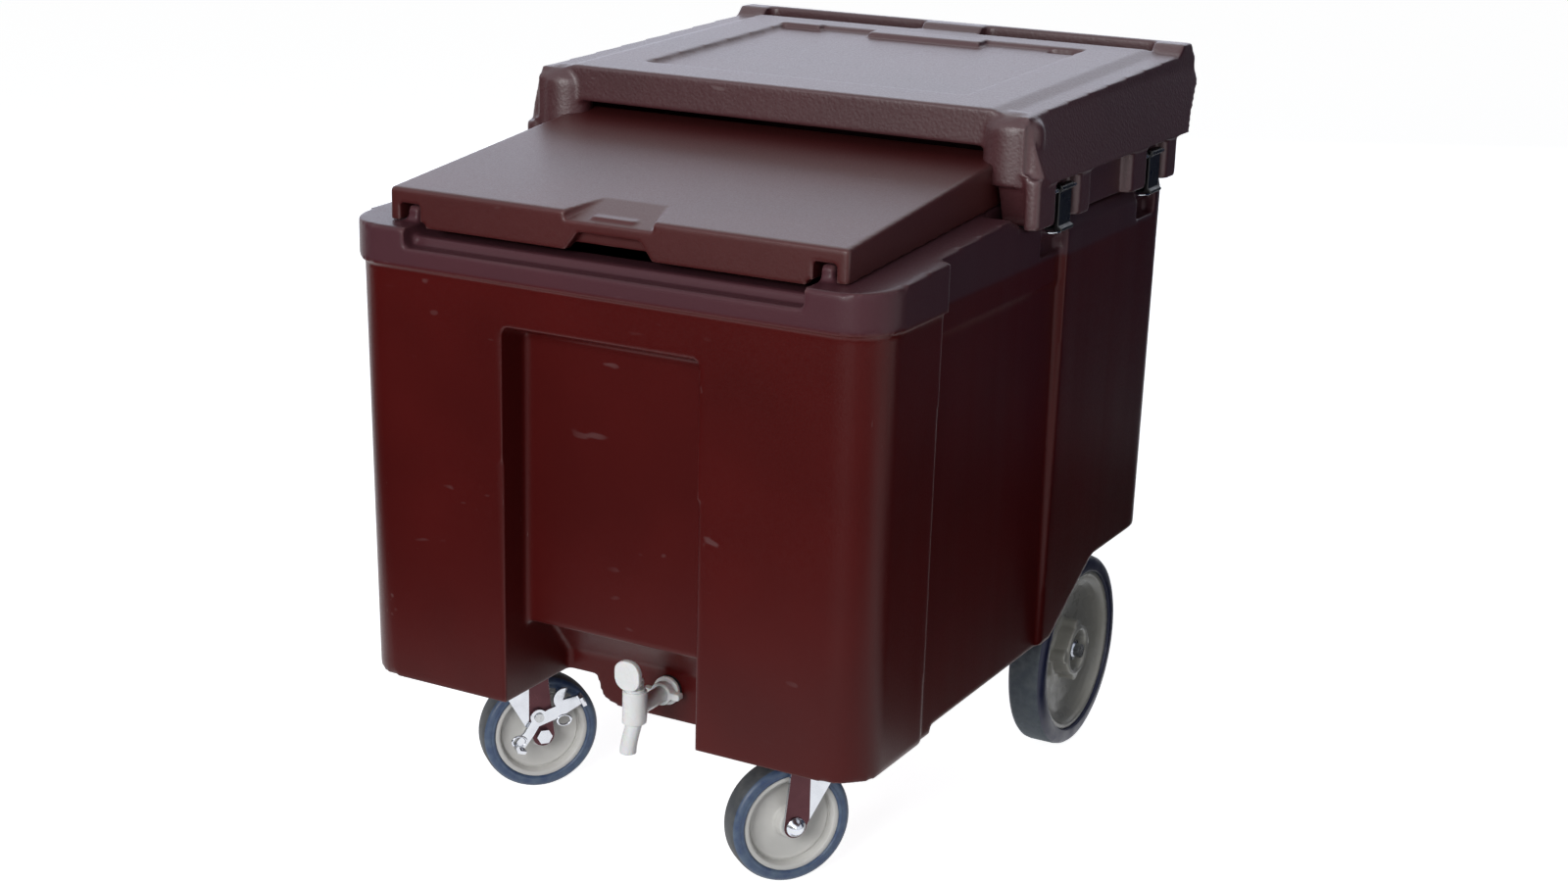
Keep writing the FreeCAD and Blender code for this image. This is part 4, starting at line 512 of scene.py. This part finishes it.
for place, shift, sign in LATCH_PLACES[1:]:
    matrix = Matrix.Translation((0, shift, 0)) @ Matrix.Diagonal((sign, 1, 1, 1))
    finished(placed_copy(strap, f"latch_strap_{place}", matrix), f"latch_{place}", "latch",
             strap_rubber, f"latch_{place}")
    finished(placed_copy(staple, f"latch_staple_{place}", matrix), "tub", "pins", staple_steel)
coloured(pin_steel, *[f"latch_pin_{latch[0]}" for latch in LATCH_PLACES])

# ---------------------------------------------------------------------------------------------
# Tap. Glossy white moulded plastic: a barrel through the sump's wall with a winged nut, a valve
# with a spout whose foot bows forward, and an egg-shaped paddle that turns on a small steel pin.
# ---------------------------------------------------------------------------------------------
tap_plastic, tree = new_material("moulded_acetal_tap")
place = add(tree, "ShaderNodeTexCoord").outputs["Object"]
stains = add(tree, "ShaderNodeTexNoise", {"Vector": place, "Scale": 1 / 0.009, "Detail": 3.0})
shade = add(tree, "ShaderNodeMix", {"Factor": stains.outputs["Fac"], "A": linear("#fbfbf9"),
                                    "B": linear("#eceef0")}, data_type="RGBA")
sheen = add(tree, "ShaderNodeMapRange", {"Value": stains.outputs["Fac"], "From Min": 0.3,
                                         "From Max": 0.7, "To Min": 0.2, "To Max": 0.34})
shader = add(tree, "ShaderNodeBsdfPrincipled", {"Base Color": shade.outputs["Result"],
                                                "Roughness": sheen.outputs[0], "IOR": 1.48,
                                                "Subsurface Weight": 0.15, "Subsurface Scale": 0.004})
add(tree, "ShaderNodeOutputMaterial", {"Surface": shader.outputs[0]})
SPOUT_BOW = (-0.003, -0.007, 0)
SPOUT_BOW_REACH = 0.036
for node, name, body, passes in (("tap_body", "tap_valve_and_spout", "tub", 2),
                                 ("tap_wing_nut", "tap_winged_nut", "tub", 4),
                                 ("tap_bonnet", "tap_bonnet_cap", "tub", 2),
                                 ("tap_lock_nut", "tap_back_nut", "tub", 1),
                                 ("tap_lever", "tap_paddle", "tap_lever", 10)):
    piece = copy_of_cad(node, name)
    melted(piece, 0.0007, passes, 0.35)
    if node == "tap_body":
        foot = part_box(node)[0].z + 0.002
        for vertex in piece.data.vertices:
            vertex.select = vertex.co.z < foot
        bpy.ops.object.mode_set(mode="EDIT")
        bpy.ops.transform.translate(value=SPOUT_BOW, use_proportional_edit=True,
                                    proportional_edit_falloff="SMOOTH",
                                    proportional_size=SPOUT_BOW_REACH)
        bpy.ops.object.mode_set(mode="OBJECT")
    finished(piece, body, "tap", tap_plastic, node)
coloured(pin_steel, "tap_pin")

# ---------------------------------------------------------------------------------------------
# Front casters. A zinc-plated plate, race and pressed fork carry a grey plastic wheel core with a
# soft rubber tyre on an axle bolt with a domed nut. The fork's flat faces carry a painted
# reflection of the tub in dark maroon, and its rear edge is folded a little and bright. The right
# caster is modelled and copied.
# ---------------------------------------------------------------------------------------------
def spun(name, outline, centre, axis, steps=72):
    """A turned piece: its half section is drawn point by point in mm and spun round the axis."""
    axis = Vector(axis).normalized()
    out = axis.orthogonal().normalized()
    points = [Vector(centre) + out * (radius / 1000) + axis * (along / 1000)
              for radius, along in outline]
    bpy.ops.object.select_all(action="DESELECT")
    bpy.ops.mesh.primitive_plane_add(size=0.001, location=(0, 0, 0))
    piece = bpy.context.object
    piece.name = name
    bpy.ops.object.mode_set(mode="EDIT")
    bpy.ops.mesh.select_all(action="SELECT")
    bpy.ops.mesh.merge(type="CENTER")
    bpy.ops.transform.translate(value=points[0])
    for before, after in zip(points, points[1:] + points[:1]):
        bpy.ops.mesh.extrude_vertices_move(TRANSFORM_OT_translate={"value": after - before})
    bpy.ops.mesh.select_all(action="SELECT")
    bpy.ops.mesh.spin(steps=steps, angle=2 * math.pi, center=centre, axis=axis)
    bpy.ops.mesh.select_all(action="SELECT")
    bpy.ops.mesh.remove_doubles(threshold=0.000005)
    bpy.ops.mesh.normals_make_consistent(inside=False)
    bpy.ops.object.mode_set(mode="OBJECT")
    return piece


def softened(piece, width, angle, segments=2):
    """Bevel the edges that are sharper than the angle in degrees and smooth the rest."""
    applied(piece, "BEVEL", width=width, segments=segments, limit_method="ANGLE",
            angle_limit=math.radians(angle), harden_normals=False)
    only(piece)
    bpy.ops.object.shade_smooth_by_angle(angle=math.radians(angle))


CASTER_TRAIL = 0.036
CASTER_TURNS = {"right": 231.7, "left": 49.8}
CASTER_TREAD_FROM = 0.0612
LEG_INSIDE, LEG_MIDDLE, LEG_OUTSIDE = 0.0185, 0.0207, 0.0228
FOLD_PLACE, FOLD_TURN = -0.015, 1.2
zinc_plate = bright_metal("bright_zinc_plate", "#d0d3d9", 0.16, 14.0)
smooth_zinc = bright_metal("polished_zinc_nut", "#d8dbe2", 0.22, 60.0)
# Painted reflection: a dark maroon metal that stands for the tub mirrored in the fork's flat faces.
fork_painted_reflection = bright_metal("zinc_with_painted_tub_reflection", "#523539", 0.3, 20.0)


def wheel_plastic(name, base, hollow_shade, rough):
    """Injection-moulded polypropylene: even colour and a soft gloss, with painted shade: patchy darker
    grey in its hollows.
    """
    material, tree = new_material(name)
    place = add(tree, "ShaderNodeTexCoord").outputs["Object"]
    cloud = add(tree, "ShaderNodeTexNoise", {"Vector": place, "Scale": 1 / 0.02, "Detail": 4.0})
    edges = add(tree, "ShaderNodeNewGeometry").outputs["Pointiness"]
    # Painted shade: where the pointiness is low, in hollows, the colour is mixed in patches towards the
    # darker grey.
    hollow = add(tree, "ShaderNodeMapRange", {"Value": edges, "From Min": 0.5, "From Max": 0.44,
                                              "To Min": 0.15, "To Max": 0.9})
    painted_shade = add(tree, "ShaderNodeMath", {0: hollow.outputs[0], 1: cloud.outputs["Fac"]},
               operation="MULTIPLY")
    colour = add(tree, "ShaderNodeMix", {"Factor": painted_shade.outputs[0], "A": linear(base),
                                         "B": linear(hollow_shade)}, data_type="RGBA")
    fine = add(tree, "ShaderNodeTexNoise", {"Vector": place, "Scale": 1 / 0.0015, "Detail": 2.0})
    relief = add(tree, "ShaderNodeBump", {"Height": fine.outputs["Fac"], "Strength": 0.12,
                                          "Distance": 0.0003})
    gloss = add(tree, "ShaderNodeMapRange", {"Value": cloud.outputs["Fac"], "From Min": 0.3,
                                             "From Max": 0.7, "To Min": rough - 0.05,
                                             "To Max": rough + 0.08})
    shader = add(tree, "ShaderNodeBsdfPrincipled", {"Base Color": colour.outputs["Result"],
                                                    "Roughness": gloss.outputs[0], "IOR": 1.49,
                                                    "Normal": relief.outputs[0]})
    add(tree, "ShaderNodeOutputMaterial", {"Surface": shader.outputs[0]})
    return material


def paint_faces(piece, rule, material):
    """Give the faces that a rule picks by their centre and normal a material of their own."""
    piece.data.materials.append(material)
    for face in piece.data.polygons:
        if rule(face.center, face.normal):
            face.material_index = len(piece.data.materials) - 1


# Its second colour is the painted shade in the hollows.
caster_core_plastic = wheel_plastic("moulded_polypropylene_caster", "#dfdeda", "#8a8984", 0.33)
sidewall_rubber = rubber("grey_rubber_sidewall", "#31466a", "#5f7183", 0.7, 0.4, 1.5, 0.2)
tread_rubber = rubber("grey_rubber_tread", "#3b3f44", "#5b5d5e", 0.9, 0.62, 1.2, 0.5)

turn = math.radians(CASTER_TURNS["right"])
low, high = (Vector(corner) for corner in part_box("kingpin_right"))
swivel = Vector(((low.x + high.x) / 2, (low.y + high.y) / 2, 0))
trail = Vector((math.cos(turn), math.sin(turn), 0))
axle = Vector((-math.sin(turn), math.cos(turn), 0))
hub = swivel + trail * CASTER_TRAIL + Vector((0, 0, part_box("caster_tyre_right")[1][2] / 2))

def both_halves(half):
    """A half section, as radius and distance along the axis, with its mirror image."""
    return half + [(radius, -along) for radius, along in reversed(half)]


HALF_CORE = [(8, 17.5), (12.5, 17.5), (14.5, 16.6), (15.5, 14), (16, 8), (17.5, 5.6), (21, 4.8),
             (30, 4.4), (38, 4.6), (41.4, 5.6), (42.6, 4.4), (43.8, 4.4), (44.6, 12), (45.6, 13.6),
             (47.5, 14.2), (50.4, 13.8)]
HALF_TYRE = [(50.4, 13.9), (51.4, 15.2), (53, 15.9), (54.6, 15.3), (56, 15.6), (58.2, 15.4),
             (60.4, 14.2), (62, 12), (63.1, 9), (63.5, 5.5)]
NUT_OUTLINE = [(5, 22.5), (10, 22.5), (10.4, 23.4), (10, 24.8), (9, 25.6), (7.6, 28), (5.4, 30.6),
               (2.6, 32.6), (0.02, 33.2), (0.02, 28), (5, 28)]
core = spun("caster_wheel_core_right", both_halves(HALF_CORE), hub, axle)
softened(core, 0.0004, 30)
tyre = spun("caster_tyre_ring_right", both_halves(HALF_TYRE), hub, axle, 96)
softened(tyre, 0.0005, 30)
nut = spun("caster_domed_nut_right", NUT_OUTLINE, hub, axle, 48)
softened(nut, 0.0003, 30)
fork = copy_of_cad("caster_fork_right", "caster_pressed_fork_right")
only(fork)
bend = hub + trail * FOLD_PLACE
bpy.ops.object.mode_set(mode="EDIT")
bpy.ops.mesh.select_all(action="SELECT")
bpy.ops.mesh.bisect(plane_co=bend, plane_no=trail)
bpy.ops.object.mode_set(mode="OBJECT")
for outward in (1, -1):
    for vertex in fork.data.vertices:
        place = vertex.co - hub
        vertex.select = (LEG_INSIDE < place.dot(axle) * outward < LEG_OUTSIDE
                         and place.dot(trail) < FOLD_PLACE - 0.0002)
    bpy.ops.object.mode_set(mode="EDIT")
    bpy.ops.mesh.select_mode(type="VERT")
    bpy.ops.transform.rotate(value=math.radians(FOLD_TURN) * outward, orient_axis="Z",
                             orient_type="GLOBAL",
                             center_override=bend + axle * outward * LEG_MIDDLE)
    bpy.ops.mesh.select_all(action="DESELECT")
    bpy.ops.object.mode_set(mode="OBJECT")
softened(fork, 0.0005, 28)
bpy.ops.object.shade_smooth_by_angle(angle=math.radians(3))

CASTER_SOLIDS = ("caster_plate", "caster_bolts", "caster_race", "kingpin", "caster_axle")
for side in ("right", "left"):
    turned = math.radians(CASTER_TURNS[side])
    other = Vector((swivel.x if side == "right" else -swivel.x, swivel.y, 0))
    matrix = (Matrix.Translation(other) @ Matrix.Rotation(turned - turn, 4, "Z")
              @ Matrix.Translation(-swivel))
    middle, away, onward = matrix @ hub, matrix.to_3x3() @ axle, matrix.to_3x3() @ trail

    def on_tread(centre, normal):
        """Whether a face of the tyre touches the ground as the wheel rolls."""
        out = centre - middle
        return (out - away * out.dot(away)).length > CASTER_TREAD_FROM

    def on_flat(centre, normal):
        """Whether a face of the fork is flat and in front of the fold: these faces get the painted
        reflection.
        """
        return abs(normal.dot(away)) > 0.9995 and (centre - middle).dot(onward) > FOLD_PLACE - 0.001

    for source, slot, material, node, body in (
            (core, "caster_core", caster_core_plastic, "caster_core", "caster_wheel"),
            (tyre, "tyre", sidewall_rubber, "caster_tyre", "caster_wheel"),
            (nut, "plated", smooth_zinc, "caster_nut", "caster_fork"),
            (fork, "plated", zinc_plate, "caster_fork", "caster_fork")):
        piece = source
        if side == "left":
            piece = placed_copy(source, source.name.replace("right", "left"), matrix)
        finished(piece, f"{body}_{side}", slot, material, f"{node}_{side}")
        if source is tyre:
            paint_faces(piece, on_tread, tread_rubber)
        # The flat faces in front of the fold get the painted reflection of the tub.
        if source is fork:
            paint_faces(piece, on_flat, fork_painted_reflection)
    coloured(zinc_plate, *[f"{node}_{side}" for node in CASTER_SOLIDS])
    coloured(caster_core_plastic, f"caster_bush_{side}")

# ---------------------------------------------------------------------------------------------
# Brake on the left caster. A rocking lever pressed from plated steel plate, with a hooked cam, two
# bent pedals and two loops of wire, on a riveted pin.
# ---------------------------------------------------------------------------------------------
LOOP_WIRE, LOOP_RADIUS, LOOP_OUT = 0.0014, 0.0068, 0.0262
LOOP_STRETCH = (1.1, 1.1, 0.85)
turned = math.radians(CASTER_TURNS["left"])
along = Vector((math.cos(turned), math.sin(turned), 0))
across = Vector((-math.sin(turned), math.cos(turned), 0))
pivot = Vector((-swivel.x, swivel.y, 0))
lever = copy_of_cad("brake_lever", "brake_rocking_lever")
softened(lever, 0.0009, 25, 3)
for name, place, height in (("upper", 0.0575, 0.0800), ("lower", 0.0085, 0.0610)):
    centre = pivot + along * place - across * LOOP_OUT + Vector((0, 0, height))
    loop = ring_of_wire(f"brake_loop_{name}", LOOP_WIRE, LOOP_RADIUS, centre, across, LOOP_STRETCH)
    lever = joined(lever, loop)
finished(lever, "brake", "plated", zinc_plate, "brake_lever")
coloured(pin_steel, "brake_pin")

# ---------------------------------------------------------------------------------------------
# Rear wheels. A dished core moulded in grey plastic, with a four-lobed cup round the axle's end,
# and a navy rubber tyre whose tread has gone grey. The right one is modelled and mirrored.
# ---------------------------------------------------------------------------------------------
box = [Vector(corner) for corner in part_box("rear_tyre_right")]
hub = (box[0] + box[1]) / 2
CORE_OUTLINE = [(12, -26), (20.5, -26), (22, -24.5), (22.5, -10), (26, -8.2), (78, -8), (82, -10),
                (84, -16), (85.5, -18), (91, -18), (91, 18), (86.6, 18), (85.2, 17), (83.8, 13.6),
                (80, 9), (73, 5), (64, 2.2), (52, 0.2), (40, -1.2), (33, -1.6), (29.5, 0),
                (29, 18.2), (27.6, 20), (24.4, 20), (23.2, 18.4), (20.5, 5.6), (19, 4), (12, 4)]
HALF_REAR_TYRE = [(91, 20.4), (92.5, 21), (97, 21), (101.5, 20.6), (105, 19), (107.2, 16.2),
                  (108, 12)]
LOBES, LOBE_RADIUS, LOBE_LENGTH = 4, 0.0075, 0.019
LOBE_OUT, LOBE_SIDEWAYS = 0.0285, 0.0085
REAR_TREAD_FROM = 0.1073
core = spun("rear_wheel_core_right", CORE_OUTLINE, hub, (1, 0, 0), 96)
lobes = []
for number in range(LOBES):
    angle = math.radians(360 / LOBES * number)
    place = hub + Vector((LOBE_SIDEWAYS, LOBE_OUT * math.cos(angle), LOBE_OUT * math.sin(angle)))
    bpy.ops.object.select_all(action="DESELECT")
    bpy.ops.mesh.primitive_cylinder_add(vertices=32, radius=LOBE_RADIUS, depth=LOBE_LENGTH,
                                        location=place, rotation=(0, math.radians(90), 0))
    lobes.append(bpy.context.object)
    bpy.ops.object.transform_apply(location=True, rotation=True, scale=True)
core = joined(core, *lobes)
melted(core, 0.0012, 6, 0.3)
# Its second colour is the painted shade in the hollows.
rear_core_plastic = wheel_plastic("moulded_polypropylene_rear", "#cfcdc4", "#6b6a63", 0.27)
rear_side_rubber = rubber("navy_rubber_sidewall", "#10163a", "#20263f", 0.4, 0.42, 1.5, 0.2)
rear_tread_rubber = rubber("dusty_rubber_tread", "#4a545e", "#7b8489", 0.9, 0.7, 2.4, 0.9)
tyre = spun("rear_tyre_ring_right", both_halves(HALF_REAR_TYRE), hub, (1, 0, 0), 120)
softened(tyre, 0.0006, 30)


def on_rear_tread(centre, normal):
    """Whether a face of the rear tyre touches the ground as the wheel rolls."""
    return math.hypot(centre.y - hub.y, centre.z - hub.z) > REAR_TREAD_FROM


for side, matrix in (("right", Matrix.Identity(4)), ("left", Matrix.Diagonal((-1, 1, 1, 1)))):
    for source, slot, material, node in ((core, "wheel_core", rear_core_plastic, "rear_core"),
                                         (tyre, "tyre", rear_side_rubber, "rear_tyre")):
        piece = source
        if side == "left":
            piece = placed_copy(source, source.name.replace("right", "left"), matrix)
        finished(piece, f"rear_wheel_{side}", slot, material, f"{node}_{side}")
        if source is tyre:
            paint_faces(piece, on_rear_tread, rear_tread_rubber)
    coloured(rear_core_plastic, f"rear_bush_{side}")
    coloured(zinc_plate, f"rear_washer_{side}", f"axle_nut_{side}", f"bracket_bolts_{side}")

# ---------------------------------------------------------------------------------------------
# Rear axle and its brackets. A plain plated steel rod in two brackets bent from steel plate and
# painted black, bolted up under the tub.
# ---------------------------------------------------------------------------------------------
coloured(zinc_plate, "rear_axle")
black_paint, tree = new_material("black_powder_coat")
place = add(tree, "ShaderNodeTexCoord").outputs["Object"]
crumbs = add(tree, "ShaderNodeTexNoise", {"Vector": place, "Scale": 1 / 0.0018, "Detail": 3.0})
relief = add(tree, "ShaderNodeBump", {"Height": crumbs.outputs["Fac"], "Strength": 0.35,
                                      "Distance": 0.0003})
shade = add(tree, "ShaderNodeMix", {"Factor": crumbs.outputs["Fac"], "A": linear("#141416"),
                                    "B": linear("#26272a")}, data_type="RGBA")
shader = add(tree, "ShaderNodeBsdfPrincipled", {"Base Color": shade.outputs["Result"], "Roughness": 0.45,
                                                "IOR": 1.5, "Normal": relief.outputs[0]})
add(tree, "ShaderNodeOutputMaterial", {"Surface": shader.outputs[0]})
for side in ("right", "left"):
    bracket = copy_of_cad(f"axle_bracket_{side}", f"axle_bent_bracket_{side}")
    softened(bracket, 0.0008, 30)
    finished(bracket, "tub", "bracket", black_paint, f"axle_bracket_{side}")
